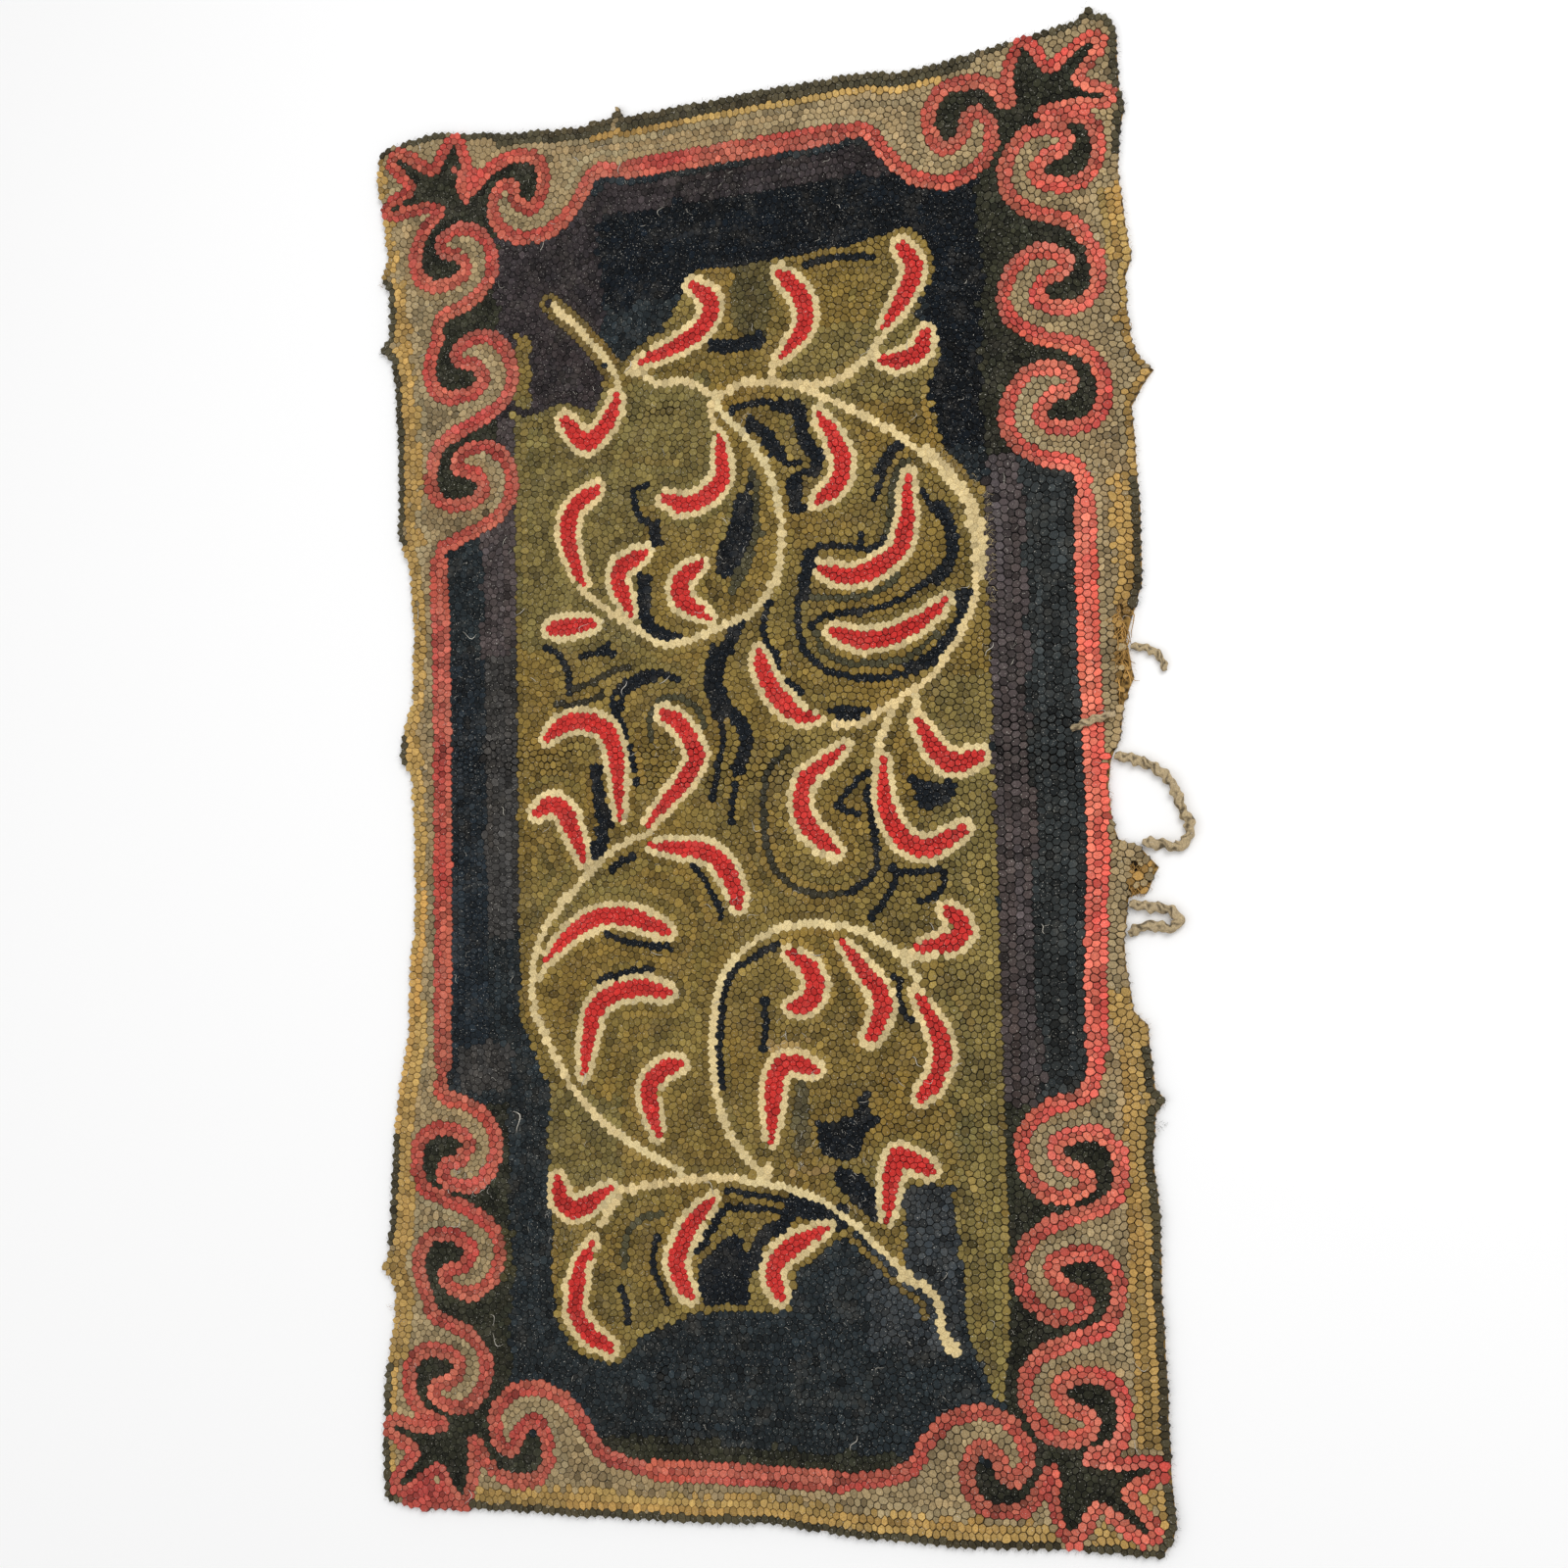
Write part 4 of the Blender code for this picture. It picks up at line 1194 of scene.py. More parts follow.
# Pile
# Every loop is pressed flat against its neighbours, so each fills its own share of the cloth like a cobble.
# Geometry Nodes raise the loops from the net of places that the rows have given them.
LOOP_FOOT = 1.2 * MM
LOOP_TALL = 5.6 * MM
PILE_LUMP = 0.35  # mm
EDGE_GHOST = 0.42  # cm outside the cloth's edge, where the outermost loops' share ends
WANDER = 0.10  # cm that the rows stray from their drawn lines
WANDER_WAVE = 1.7  # cm
JITTER = 0.08  # cm
PRESS_TIGHT = 0.952
PRESS_LOOSER = 0.035
ROOT_SHADES = {"vine_rows": 0.7}  # strength of the painted shade at the loops' feet, weaker in the cream and red vine rows
BARE_STEP = 0.45  # cm between the empty places that keep the bare patches clear
CREAM_WIDER = 0.13  # more for the cream strips, which were cut wider
CREAM_GREEN = 0.3  # green share from which a loop of the vine is cream
CRACK_PRESS = 0.08
CRACK_REACH = 0.45  # cm
CRACKS = (
    # lines where the rug has been folded and the rows stand apart
    ((-30, 5.2), (-23, 5.0), (-15, 5.4)),
    ((-29, 4.0), (-22, 3.8), (-16, 4.1)),
    ((-30, 2.7), (-24, 2.6), (-18, 2.4)),
    ((26, 4.3), (30, 4.0), (33, 4.2)),
    ((25.5, 2.0), (29, 1.6), (32.5, 1.8)),
    ((25.5, 0.4), (29, 0.2), (33, 0.5)),
    ((-20, 36.9), (-12, 36.5), (-5, 37.1)),
    ((-12, 3.5), (-4, 3.7), (4, 3.4), (8, 3.7)),
    ((-11, 2.0), (-3, 2.1), (6, 1.8)),
    ((-9, 0.7), (0, 0.5), (7, 0.6)),
    ((-8, -54), (-7.8, -62)),
    ((-5.6, -55), (-5.2, -62)),
)


crack_tree = tree_of(np.vstack([smooth_line(line, LINE_STEP) for line in CRACKS]))


def loop_tree():
    """Geometry Nodes that turn a net of places into cushions, one for each place of a part."""
    tree = bpy.data.node_groups.new("pressed_loops", "GeometryNodeTree")
    tree.interface.new_socket("Places", in_out="INPUT", socket_type="NodeSocketGeometry")
    for name, value in (
        ("Part", 0),
        ("Seed", 3),
    ):
        tree.interface.new_socket(name, in_out="INPUT", socket_type="NodeSocketInt").default_value = value
    for name, value in (
        ("Foot", LOOP_FOOT),
        ("Height", LOOP_TALL),
        ("Shoulder", 0.88),
        ("Crown", 0.88),
        ("Unevenness", 0.12),
        ("Lump", 0.7 * MM),
        ("Root Shade", 1.0),
    ):
        tree.interface.new_socket(name, in_out="INPUT", socket_type="NodeSocketFloat").default_value = value
    tree.interface.new_socket("Wool", in_out="INPUT", socket_type="NodeSocketMaterial")
    tree.interface.new_socket("Pile", in_out="OUTPUT", socket_type="NodeSocketGeometry")
    nodes, links = tree.nodes, tree.links
    given, out = nodes.new("NodeGroupInput"), nodes.new("NodeGroupOutput")

    def put(socket, value):
        if isinstance(value, bpy.types.NodeSocket):
            links.new(value, socket)
        else:
            socket.default_value = value

    def shown(sockets, name):
        return next(s for s in sockets if s.name == name and s.enabled)

    def maths(kind, first, second):
        node = nodes.new("ShaderNodeMath")
        node.operation = kind
        put(node.inputs[0], first)
        put(node.inputs[1], second)
        return node.outputs[0]

    def scaled(geometry, selection, factor):
        node = nodes.new("GeometryNodeScaleElements")
        node.domain = "FACE"
        links.new(geometry, node.inputs["Geometry"])
        if selection is not None:
            links.new(selection, node.inputs["Selection"])
        put(shown(node.inputs, "Scale"), factor)
        return node.outputs["Geometry"]

    def raised(geometry, selection, height):
        node = nodes.new("GeometryNodeExtrudeMesh")
        node.mode = "FACES"
        links.new(geometry, node.inputs["Mesh"])
        if selection is not None:
            links.new(selection, node.inputs["Selection"])
        up = nodes.new("ShaderNodeCombineXYZ")
        up.inputs["Z"].default_value = 1.0
        links.new(up.outputs[0], node.inputs["Offset"])
        put(node.inputs["Offset Scale"], height)
        node.inputs["Individual"].default_value = True
        return node.outputs["Mesh"], node.outputs["Top"]

    cells = nodes.new("GeometryNodeDualMesh")
    links.new(given.outputs["Places"], cells.inputs["Mesh"])
    whose = nodes.new("GeometryNodeInputNamedAttribute")
    whose.data_type = "INT"
    whose.inputs["Name"].default_value = "part"
    other = nodes.new("FunctionNodeCompare")
    other.data_type = "INT"
    other.operation = "NOT_EQUAL"
    links.new(shown(whose.outputs, "Attribute"), shown(other.inputs, "A"))
    links.new(given.outputs["Part"], shown(other.inputs, "B"))
    kept = nodes.new("GeometryNodeDeleteGeometry")
    kept.domain = "FACE"
    links.new(cells.outputs[0], kept.inputs["Geometry"])
    links.new(other.outputs["Result"], kept.inputs["Selection"])
    apart = nodes.new("GeometryNodeSplitEdges")
    links.new(kept.outputs["Geometry"], apart.inputs["Mesh"])
    press = nodes.new("GeometryNodeInputNamedAttribute")
    press.data_type = "FLOAT"
    press.inputs["Name"].default_value = "press"
    soles = scaled(apart.outputs["Mesh"], None, shown(press.outputs, "Attribute"))
    under = nodes.new("GeometryNodeFlipFaces")
    links.new(soles, under.inputs["Mesh"])
    random = nodes.new("FunctionNodeRandomValue")
    random.data_type = "FLOAT"
    put(shown(random.inputs, "Min"), maths("SUBTRACT", 1.0, given.outputs["Unevenness"]))
    put(shown(random.inputs, "Max"), maths("ADD", 1.0, given.outputs["Unevenness"]))
    links.new(given.outputs["Seed"], shown(random.inputs, "Seed"))
    tall = maths("MULTIPLY", given.outputs["Height"], shown(random.outputs, "Value"))
    walls, top = raised(soles, None, maths("MULTIPLY", tall, given.outputs["Shoulder"]))
    cap_share = maths("SUBTRACT", 1.0, given.outputs["Shoulder"])
    caps, crown = raised(walls, top, maths("MULTIPLY", given.outputs["Height"], cap_share))
    crowned = scaled(caps, crown, given.outputs["Crown"])
    whole = nodes.new("GeometryNodeJoinGeometry")
    links.new(crowned, whole.inputs["Geometry"])
    links.new(under.outputs["Mesh"], whole.inputs["Geometry"])
    sewn = nodes.new("GeometryNodeMergeByDistance")
    links.new(whole.outputs["Geometry"], sewn.inputs["Geometry"])
    sewn.inputs["Distance"].default_value = 0.01 * MM

    place = nodes.new("GeometryNodeInputPosition")
    parts_of = nodes.new("ShaderNodeSeparateXYZ")
    links.new(place.outputs[0], parts_of.inputs[0])
    above = maths("SUBTRACT", parts_of.outputs["Z"], given.outputs["Foot"])
    rise = maths("DIVIDE", above, given.outputs["Height"])
    # Painted shade: the root share is nought at the crown and full down the walls, and the wool material
    # darkens the colour by it.
    wall_shade = nodes.new("ShaderNodeMapRange")
    for name, value in (("From Min", 0.74), ("From Max", 1.02), ("To Min", 1.0), ("To Max", 0.0)):
        shown(wall_shade.inputs, name).default_value = value
    links.new(rise, shown(wall_shade.inputs, "Value"))
    marked = nodes.new("GeometryNodeStoreNamedAttribute")
    marked.data_type = "FLOAT"
    marked.domain = "POINT"
    marked.inputs["Name"].default_value = "root"
    links.new(sewn.outputs["Geometry"], marked.inputs["Geometry"])
    shaded = maths("MULTIPLY", shown(wall_shade.outputs, "Result"), given.outputs["Root Shade"])
    put(shown(marked.inputs, "Value"), shaded)

    ripple = nodes.new("ShaderNodeTexNoise")
    ripple.inputs["Scale"].default_value = 330.0
    ripple.inputs["Detail"].default_value = 1.0
    links.new(place.outputs[0], ripple.inputs["Vector"])
    centred = nodes.new("ShaderNodeVectorMath")
    centred.operation = "SUBTRACT"
    links.new(ripple.outputs["Color"], centred.inputs[0])
    centred.inputs[1].default_value = (0.5, 0.5, 0.5)
    pushed = nodes.new("ShaderNodeVectorMath")
    pushed.operation = "SCALE"
    links.new(centred.outputs[0], pushed.inputs[0])
    links.new(maths("MULTIPLY", maths("MULTIPLY", rise, given.outputs["Lump"]), 3.0), pushed.inputs["Scale"])
    pressed = nodes.new("GeometryNodeSetPosition")
    links.new(marked.outputs["Geometry"], pressed.inputs["Geometry"])
    links.new(pushed.outputs[0], pressed.inputs["Offset"])

    smooth = nodes.new("GeometryNodeSetShadeSmooth")
    links.new(pressed.outputs["Geometry"], smooth.inputs["Geometry"])
    flat_tops = nodes.new("GeometryNodeSetShadeSmooth")
    links.new(smooth.outputs["Geometry"], flat_tops.inputs["Geometry"])
    links.new(crown, flat_tops.inputs["Selection"])
    flat_tops.inputs["Shade Smooth"].default_value = False
    real = nodes.new("GeometryNodeRealizeInstances")
    links.new(flat_tops.outputs["Geometry"], real.inputs["Geometry"])
    finish = nodes.new("GeometryNodeSetMaterial")
    links.new(real.outputs["Geometry"], finish.inputs["Geometry"])
    links.new(given.outputs["Wool"], finish.inputs["Material"])
    links.new(finish.outputs["Geometry"], out.inputs["Pile"])
    return tree


def spread(amount):
    return rng.uniform(-amount, amount)


def strayed(x, y):
    """A place moved a little off its drawn line, smoothly over the cloth and at random."""
    at = Vector((x / WANDER_WAVE, y / WANDER_WAVE, 0.0))
    return (
        x + WANDER * noise.noise(at) + rng.normal(0.0, JITTER),
        y + WANDER * noise.noise(at + Vector((40.0, 0.0, 3.0))) + rng.normal(0.0, JITTER),
    )


def pressed_at(x, y):
    """The share of its room that a loop fills, less beside a crack and in the looser right side."""
    loose = 0.5 + 0.5 * math.tanh((x - 8.0) / 10.0)
    share = PRESS_TIGHT - loose * PRESS_LOOSER + rng.normal(0.0, 0.012)
    if crack_tree.find((x, y, 0.0))[2] < CRACK_REACH:
        share -= CRACK_PRESS
    return min(0.98, share)


def net_of_places():
    """All loops' places as one net of triangles with part and colour, in a ring of empty places."""
    ring = np.array(outline)
    lead = np.roll(ring, -1, axis=0) - np.roll(ring, 1, axis=0)
    lead /= np.hypot(*lead.T)[:, None]
    turning = np.dot(ring[:, 0], np.roll(ring[:, 1], -1)) - np.dot(ring[:, 1], np.roll(ring[:, 0], -1))
    outward = np.column_stack([lead[:, 1], -lead[:, 0]]) * (1.0 if turning > 0 else -1.0)
    rim = smooth_line(ring + outward * EDGE_GHOST, 0.6, closed=True)
    spots, owners, colours = [tuple(p) for p in rim], [-1] * len(rim), [(0, 0, 0)] * len(rim)
    shares = [1.0] * len(rim)
    for low_x, high_x, low_y, high_y in BARE_PATCHES:
        for x in np.arange(low_x, high_x, BARE_STEP):
            for y in np.arange(low_y, high_y, BARE_STEP):
                if in_part(rug, x, y) and is_free(x, y, 0.36):
                    spots.append((x + spread(0.1), y + spread(0.1)))
                    owners.append(-1)
                    colours.append((0, 0, 0))
                    shares.append(1.0)
    for k, (name, loops) in enumerate(parts.items()):
        for x, y, *colour in loops:
            spots.append(strayed(x, y))
            owners.append(k)
            colours.append(colour)
            wide = CREAM_WIDER if name == "vine_rows" and colour[1] > CREAM_GREEN else 0.0
            shares.append(pressed_at(x, y) + wide)
    flat, _, faces, origins, _, _ = delaunay_2d_cdt([Vector(p) for p in spots], [], [], 0, 1e-9)
    net = add_mesh("net_of_places", [
        on_rug(p.x, p.y, LOOP_FOOT + MM * PILE_LUMP * noise.noise((p.x / 4.0, p.y / 4.0, 0.5))) for p in flat
    ], [tuple(f) for f in faces], smooth=False)
    table = [source[0] for source in origins]
    net.data.attributes.new("part", "INT", "POINT").data.foreach_set("value", [owners[k] for k in table])
    net.data.attributes.new("press", "FLOAT", "POINT").data.foreach_set("value", [shares[k] for k in table])
    tints = np.array([(*colours[k], 1.0) for k in table], np.float32)
    net.data.attributes.new("wool", "FLOAT_COLOR", "POINT").data.foreach_set("color", tints.ravel())
    return net


net = net_of_places()
pressed_loops = loop_tree()
dyed_wool = wool_material("dyed_wool")
sockets = {s.name: s.identifier for s in pressed_loops.interface.items_tree if s.in_out == "INPUT"}
dress = net.modifiers.new("loops", "NODES")
dress.node_group = pressed_loops
for k, name in enumerate(parts):
    dress[sockets["Part"]] = k
    dress[sockets["Root Shade"]] = ROOT_SHADES.get(name, 1.0)
    dress[sockets["Seed"]] = k
    dress[sockets["Wool"]] = dyed_wool
    net.data.update()
    net.update_tag()
    graph = bpy.context.evaluated_depsgraph_get()
    mesh = bpy.data.meshes.new_from_object(net.evaluated_get(graph), depsgraph=graph)
    mesh.name = name
    piece = bpy.data.objects.new(name, mesh)
    bpy.context.scene.collection.objects.link(piece)
    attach(piece, "root")
net.modifiers.remove(dress)
bpy.data.objects.remove(net)

# Lint and frayed ends
# White lint and short threads cling to the old wool, the rim is fuzzy, and jute threads hang where the cloth
# is torn. Each is a thin curled fibre that lies on the pile or sticks out of the edge.
FIBRE_SIDES = 3
FIBRE_STEPS = 6
FIBRE_ROUND = 0.065  # of its length
FIBRE_CURLS = (
    # name, sideways sweep, turns, rise, all of a fibre one unit long
    ("fibre_bent", 0.10, 0.5, 0.05),
    ("fibre_waved", 0.12, 1.0, 0.06),
    ("fibre_hooked", 0.32, 0.7, 0.10),
)
LINT_WHITE = "#D8D2C4"
JUTE_GOLD = "#B98E4C"
LINT_COUNT = 560
LINT_PATCHES = (
    # low and high across, low and high up, number of fibres
    (-31.0, -25.0, -39.0, -35.0, 36),
    (-20.0, -17.0, -44.0, -40.0, 14),
    (0.0, 4.0, 33.0, 37.0, 10),
    (-2.0, 3.0, 20.0, 28.0, 10),
    (24.5, 29.0, 9.0, 14.0, 8),
    (2.0, 6.5, -24.8, -22.6, 12),
    (5.0, 8.0, -36.5, -27.0, 30),
    (8.0, 13.0, -40.0, -33.5, 22),
    (-8.0, -5.5, 3.0, 5.0, 6),
    (-1.0, 3.0, -12.0, -10.5, 8),
)
WHITE_CURLS = (
    # across, up, heading in degrees, length in mm
    (-23.5, -30.7, -62, 20),
    (24.8, 10.4, 60, 14),
    (29.0, -14.0, -70, 10),
)
FUZZ_STEP = 0.36  # cm between the whiskers of the rim
TUFTS = (
    # across, up and heading in degrees of the tufts that stick out of the rim, and their wool
    (-11.4, 67.6, 90, EDGE_DARK), (-38.0, 46.6, 190, SOFT_BLACK), (-38.0, 53.9, 170, EDGE_GOLD),
    (-36.2, 4.7, 180, SOFT_BLACK), (36.3, 69.2, 80, EDGE_DARK), (39.8, 35.1, 10, EDGE_DARK),
    (39.0, 36.6, 20, TAUPE), (38.8, 45.6, 10, SOFT_BLACK), (38.6, 57.0, -20, EDGE_DARK),
    (39.2, -31.6, 10, EDGE_DARK), (-37.5, -49.8, 190, EDGE_GOLD),
)
TUFT_FIBRES = 9
TORN = (
    # low and high across, low and high up, number of jute threads, heading in degrees, length in mm
    (36.2, 37.2, 8.0, 15.0, 70, -80, 20),
    (36.0, 36.8, 5.4, 10.0, 40, -78, 12),
    (35.2, 35.6, -6.0, -0.9, 30, -82, 8),
    (36.6, 38.0, -11.0, -8.4, 70, -60, 11),
    (38.2, 38.7, 27.0, 47.0, 26, -85, 8),
)
WHISKERED_STEM = ((20.6, 30.2), (22.8, 27.9), (24.9, 25.3), (25.3, 22.5), (25.4, 18.5), (25.0, 14.5))
PILE_TOP = LOOP_FOOT + LOOP_TALL


def fibre_shape(name, sweep, turns, rise):
    """A thin curled fibre one unit long, closed at its ends."""
    work = bmesh.new()
    rings = []
    for k in range(FIBRE_STEPS + 1):
        t = k / FIBRE_STEPS
        reach = 0.5 * FIBRE_ROUND * (0.35 + 0.65 * math.sin(math.pi * t))
        y = sweep * math.sin(2 * math.pi * turns * t)
        z = rise * math.sin(math.pi * t)
        ring = []
        for side in range(FIBRE_SIDES):
            angle = 2 * math.pi * side / FIBRE_SIDES
            ring.append(work.verts.new((t, y + reach * math.cos(angle), z + reach * math.sin(angle))))
        rings.append(ring)
    for low, high in zip(rings, rings[1:]):
        for side in range(FIBRE_SIDES):
            onward = (side + 1) % FIBRE_SIDES
            work.faces.new((low[side], low[onward], high[onward], high[side]))
    work.faces.new(rings[0])
    work.faces.new(rings[-1])
    bmesh.ops.recalc_face_normals(work, faces=work.faces)
    mesh = bpy.data.meshes.new(name)
    work.to_mesh(mesh)
    work.free()
    mesh.shade_smooth()
    shape = bpy.data.objects.new(name, mesh)
    bpy.context.scene.collection.objects.link(shape)
    return shape


def fibre_tree():
    """Geometry Nodes that lay curled fibres on places, each with its own turn, size and colour."""
    tree = bpy.data.node_groups.new("scattered_fibres", "GeometryNodeTree")
    tree.interface.new_socket("Places", in_out="INPUT", socket_type="NodeSocketGeometry")
    for name, _, _, _ in FIBRE_CURLS:
        tree.interface.new_socket(name, in_out="INPUT", socket_type="NodeSocketObject")
    tree.interface.new_socket("Seed", in_out="INPUT", socket_type="NodeSocketInt").default_value = 5
    tree.interface.new_socket("Wool", in_out="INPUT", socket_type="NodeSocketMaterial")
    tree.interface.new_socket("Fibres", in_out="OUTPUT", socket_type="NodeSocketGeometry")
    nodes, links = tree.nodes, tree.links
    given, out = nodes.new("NodeGroupInput"), nodes.new("NodeGroupOutput")
    kinds = nodes.new("GeometryNodeJoinGeometry")
    for name, _, _, _ in FIBRE_CURLS:
        shape = nodes.new("GeometryNodeObjectInfo")
        shape.inputs["As Instance"].default_value = True
        links.new(given.outputs[name], shape.inputs["Object"])
        links.new(shape.outputs["Geometry"], kinds.inputs["Geometry"])

    def read(kind, name):
        node = nodes.new("GeometryNodeInputNamedAttribute")
        node.data_type = kind
        node.inputs["Name"].default_value = name
        return next(s for s in node.outputs if s.name == "Attribute" and s.enabled)

    which = nodes.new("FunctionNodeRandomValue")
    which.data_type = "INT"
    next(s for s in which.inputs if s.name == "Max" and s.enabled).default_value = len(FIBRE_CURLS) - 1
    links.new(given.outputs["Seed"], next(s for s in which.inputs if s.name == "Seed" and s.enabled))
    turned = nodes.new("FunctionNodeEulerToRotation")
    links.new(read("FLOAT_VECTOR", "turn"), turned.inputs[0])
    laid = nodes.new("GeometryNodeInstanceOnPoints")
    links.new(given.outputs["Places"], laid.inputs["Points"])
    links.new(kinds.outputs["Geometry"], laid.inputs["Instance"])
    laid.inputs["Pick Instance"].default_value = True
    chosen = next(s for s in which.outputs if s.name == "Value" and s.enabled)
    links.new(chosen, laid.inputs["Instance Index"])
    links.new(turned.outputs[0], laid.inputs["Rotation"])
    links.new(read("FLOAT", "size"), laid.inputs["Scale"])
    real = nodes.new("GeometryNodeRealizeInstances")
    links.new(laid.outputs["Instances"], real.inputs["Geometry"])
    finish = nodes.new("GeometryNodeSetMaterial")
    links.new(real.outputs["Geometry"], finish.inputs["Geometry"])
    links.new(given.outputs["Wool"], finish.inputs["Material"])
    links.new(finish.outputs["Geometry"], out.inputs["Fibres"])
    return tree


fibre_shapes = [fibre_shape(*curl) for curl in FIBRE_CURLS]
scattered_fibres = fibre_tree()
fibre_wool = wool_material("loose_fibre", bump=0.2)


def fibres(name, places, seed):
    """One piece of many fibres, from (place, heading, pitch, length in metres, colour) rows."""
    points = add_mesh(name + "_places", [place for place, _, _, _, _ in places], [], smooth=False)
    turns = np.array([(0.0, -pitch, heading) for _, heading, pitch, _, _ in places], np.float32)
    points.data.attributes.new("turn", "FLOAT_VECTOR", "POINT").data.foreach_set("vector", turns.ravel())
    sizes = [length for _, _, _, length, _ in places]
    points.data.attributes.new("size", "FLOAT", "POINT").data.foreach_set("value", sizes)
    tints = np.array([(*np.clip(colour, 0, 1), 1.0) for _, _, _, _, colour in places], np.float32)
    points.data.attributes.new("wool", "FLOAT_COLOR", "POINT").data.foreach_set("color", tints.ravel())
    lay = points.modifiers.new("fibres", "NODES")
    lay.node_group = scattered_fibres
    keys = {s.name: s.identifier for s in scattered_fibres.interface.items_tree if s.in_out == "INPUT"}
    for (kind, _, _, _), shape in zip(FIBRE_CURLS, fibre_shapes):
        lay[keys[kind]] = shape
    lay[keys["Seed"]] = seed
    lay[keys["Wool"]] = fibre_wool
    graph = bpy.context.evaluated_depsgraph_get()
    mesh = bpy.data.meshes.new_from_object(points.evaluated_get(graph), depsgraph=graph)
    mesh.name = name
    points.modifiers.remove(lay)
    bpy.data.objects.remove(points)
    piece = bpy.data.objects.new(name, mesh)
    bpy.context.scene.collection.objects.link(piece)
    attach(piece, "root")


lint = []
while len(lint) < LINT_COUNT:
    x, y = rng.uniform(-38, 39), rng.uniform(-69, 69)
    if in_part(rug, x, y):
        length = MM * (rng.uniform(2.5, 7.0) if rng.uniform() < 0.88 else rng.uniform(8.0, 15.0))
        place = on_rug(x, y, PILE_TOP + 0.2 * MM)
        heading, pitch = rng.uniform(0, 6.28), spread(0.12)
        lint.append((place, heading, pitch, length, linear(LINT_WHITE) * rng.uniform(0.55, 1.0)))
for low_x, high_x, low_y, high_y, count in LINT_PATCHES:
    for _ in range(count):
        place = on_rug(rng.uniform(low_x, high_x), rng.uniform(low_y, high_y), PILE_TOP + 0.2 * MM)
        heading, pitch = rng.uniform(0, 6.28), spread(0.12)
        lint.append((place, heading, pitch, rng.uniform(3.0, 8.0) * MM, linear(LINT_WHITE)))
for x, y, degrees, long in WHITE_CURLS:
    place = on_rug(x, y, PILE_TOP + 0.6 * MM)
    lint.append((place, math.radians(degrees), 0.0, long * MM, linear(LINT_WHITE)))
fibres("lint_fibres", lint, 5)

edge_walk = along(np.vstack([edge_line, edge_line[:1]]), FUZZ_STEP)
outwards = np.roll(edge_walk, -2, axis=0) - np.roll(edge_walk, 2, axis=0)
outwards = np.arctan2(-outwards[:, 0], outwards[:, 1])
if not in_part(rug, *(edge_walk[9] - (np.cos(outwards[9]), np.sin(outwards[9])))):
    outwards += math.pi
fuzz = []
for (x, y), heading in zip(edge_walk, outwards):
    dark, gold = edge_widths(x, y)
    code = EDGE_DARK if dark > 0 else EDGE_GOLD if gold > 0 else BEIGE
    place = on_rug(x + 0.1 * math.cos(heading), y + 0.1 * math.sin(heading), rng.uniform(1.5, 5.5) * MM)
    length = rng.uniform(1.5, 4.2) * MM
    fuzz.append((place, heading + spread(1.1), spread(0.35), length, linear(code) * rng.uniform(0.6, 1.1)))
for x, y, degrees, code in TUFTS:
    for _ in range(TUFT_FIBRES):
        inwards = 0.5 - spread(0.3)
        heading = math.radians(degrees)
        x_in, y_in = x - inwards * math.cos(heading), y - inwards * math.sin(heading)
        place = on_rug(x_in + spread(0.3), y_in + spread(0.3), rng.uniform(2.0, 6.0) * MM)
        heading += spread(0.8)
        pitch, length = spread(0.3), rng.uniform(3.0, 5.0) * MM
        fuzz.append((place, heading, pitch, length, linear(code) * rng.uniform(0.5, 1.1)))
fibres("rim_fuzz", fuzz, 6)

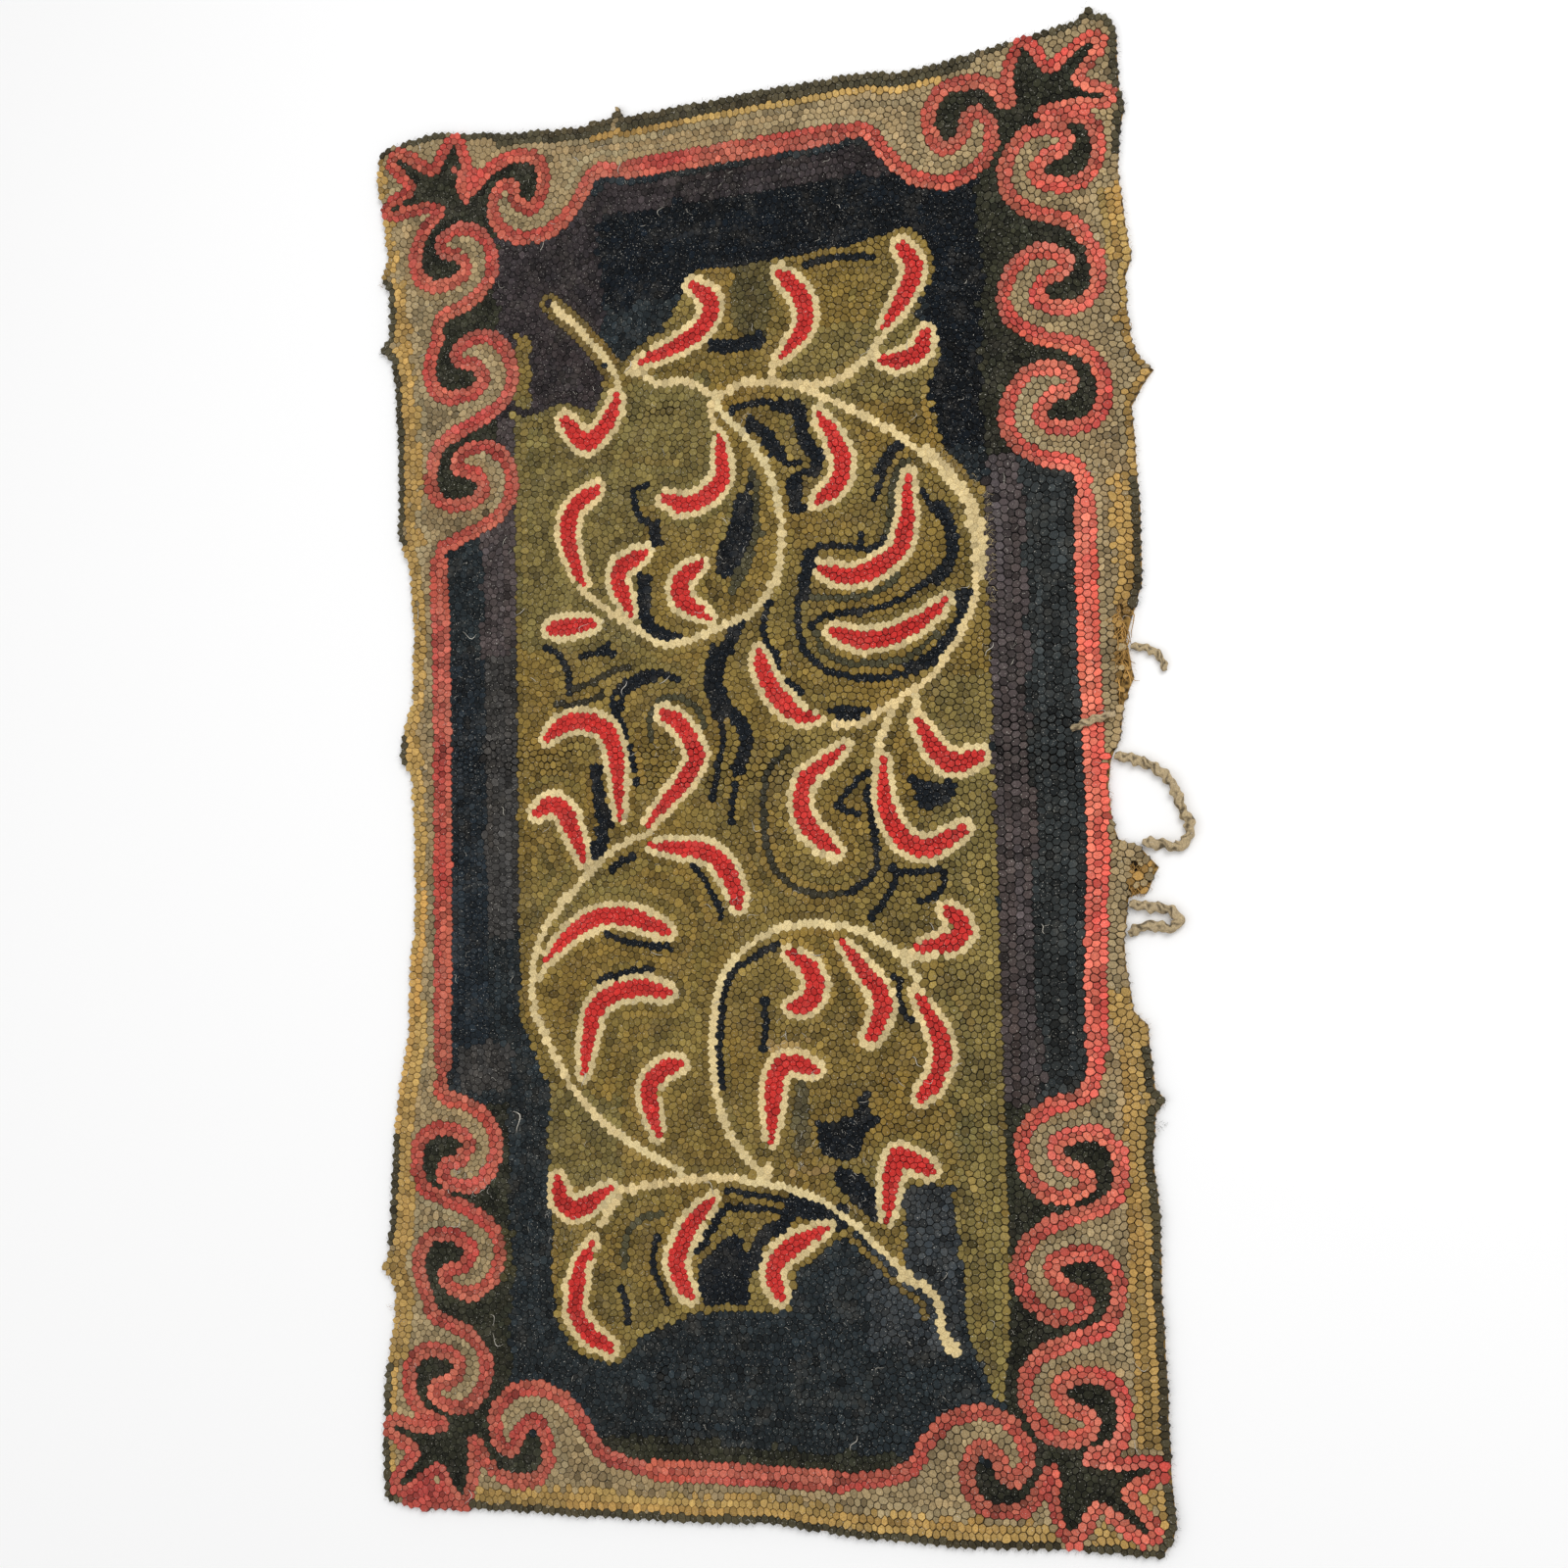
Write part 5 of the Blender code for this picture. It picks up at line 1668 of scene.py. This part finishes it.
torn = []
for low_x, high_x, low_y, high_y, count, degrees, long in TORN:
    for _ in range(count):
        place = on_rug(rng.uniform(low_x, high_x), rng.uniform(low_y, high_y), rng.uniform(2.6, 5.0) * MM)
        heading = math.radians(degrees) + rng.normal(0.0, 0.4)
        colour = linear(JUTE_GOLD) * rng.uniform(0.6, 1.3)
        torn.append((place, heading, spread(0.08), long * rng.uniform(0.6, 1.3) * MM, colour))
stem_walk = along(smooth_line(WHISKERED_STEM, LINE_STEP), 0.12)
for x, y in stem_walk:
    place = on_rug(x + spread(0.3), y + spread(0.3), PILE_TOP + 0.1 * MM)
    heading, pitch, length = 0.4 + spread(1.4), spread(0.2), rng.uniform(3.0, 7.0) * MM
    torn.append((place, heading, pitch, length, linear(STEM_CREAM) * rng.uniform(0.7, 1.2)))
fibres("torn_threads", torn, 7)
for shape in fibre_shapes:
    bpy.data.objects.remove(shape)

# Floor and light
# A plain pale floor, a broad soft light from the upper left and a wide fill.
FLOOR_REACH = 6.0
FLOOR_PALE = 0.97
ROOM_LIGHT = 0.6
bpy.context.scene.view_settings.view_transform = "Standard"
floor_corners = [(FLOOR_REACH * x, FLOOR_REACH * y, 0) for x, y in ((-1, -1), (1, -1), (1, 1), (-1, 1))]
floor = add_mesh("floor", floor_corners, [(0, 1, 2, 3)], smooth=False)
pale = bpy.data.materials.new("pale_floor")
pale.use_nodes = True
pale.node_tree.nodes["Principled BSDF"].inputs["Base Color"].default_value = (*[FLOOR_PALE] * 3, 1.0)
pale.node_tree.nodes["Principled BSDF"].inputs["Roughness"].default_value = 0.9
floor.data.materials.append(pale)
LIGHTS = (
    # name, place, size, power
    ("key", (1.5, 1.3, 2.5), 1.6, 46.0),
    ("fill", (-1.6, -0.6, 2.4), 2.4, 16.0),
)
for name, place, size, power in LIGHTS:
    lamp = bpy.data.lights.new(name, "AREA")
    lamp.size = size
    lamp.energy = power
    light = bpy.data.objects.new(name, lamp)
    light.location = place
    light.rotation_mode = "QUATERNION"
    light.rotation_quaternion = Vector(place).to_track_quat("Z", "Y")
    bpy.context.scene.collection.objects.link(light)
world = bpy.data.worlds.new("room")
world.use_nodes = True
world.node_tree.nodes["Background"].inputs["Color"].default_value = (1.0, 1.0, 1.0, 1.0)
world.node_tree.nodes["Background"].inputs["Strength"].default_value = ROOM_LIGHT
bpy.context.scene.world = world
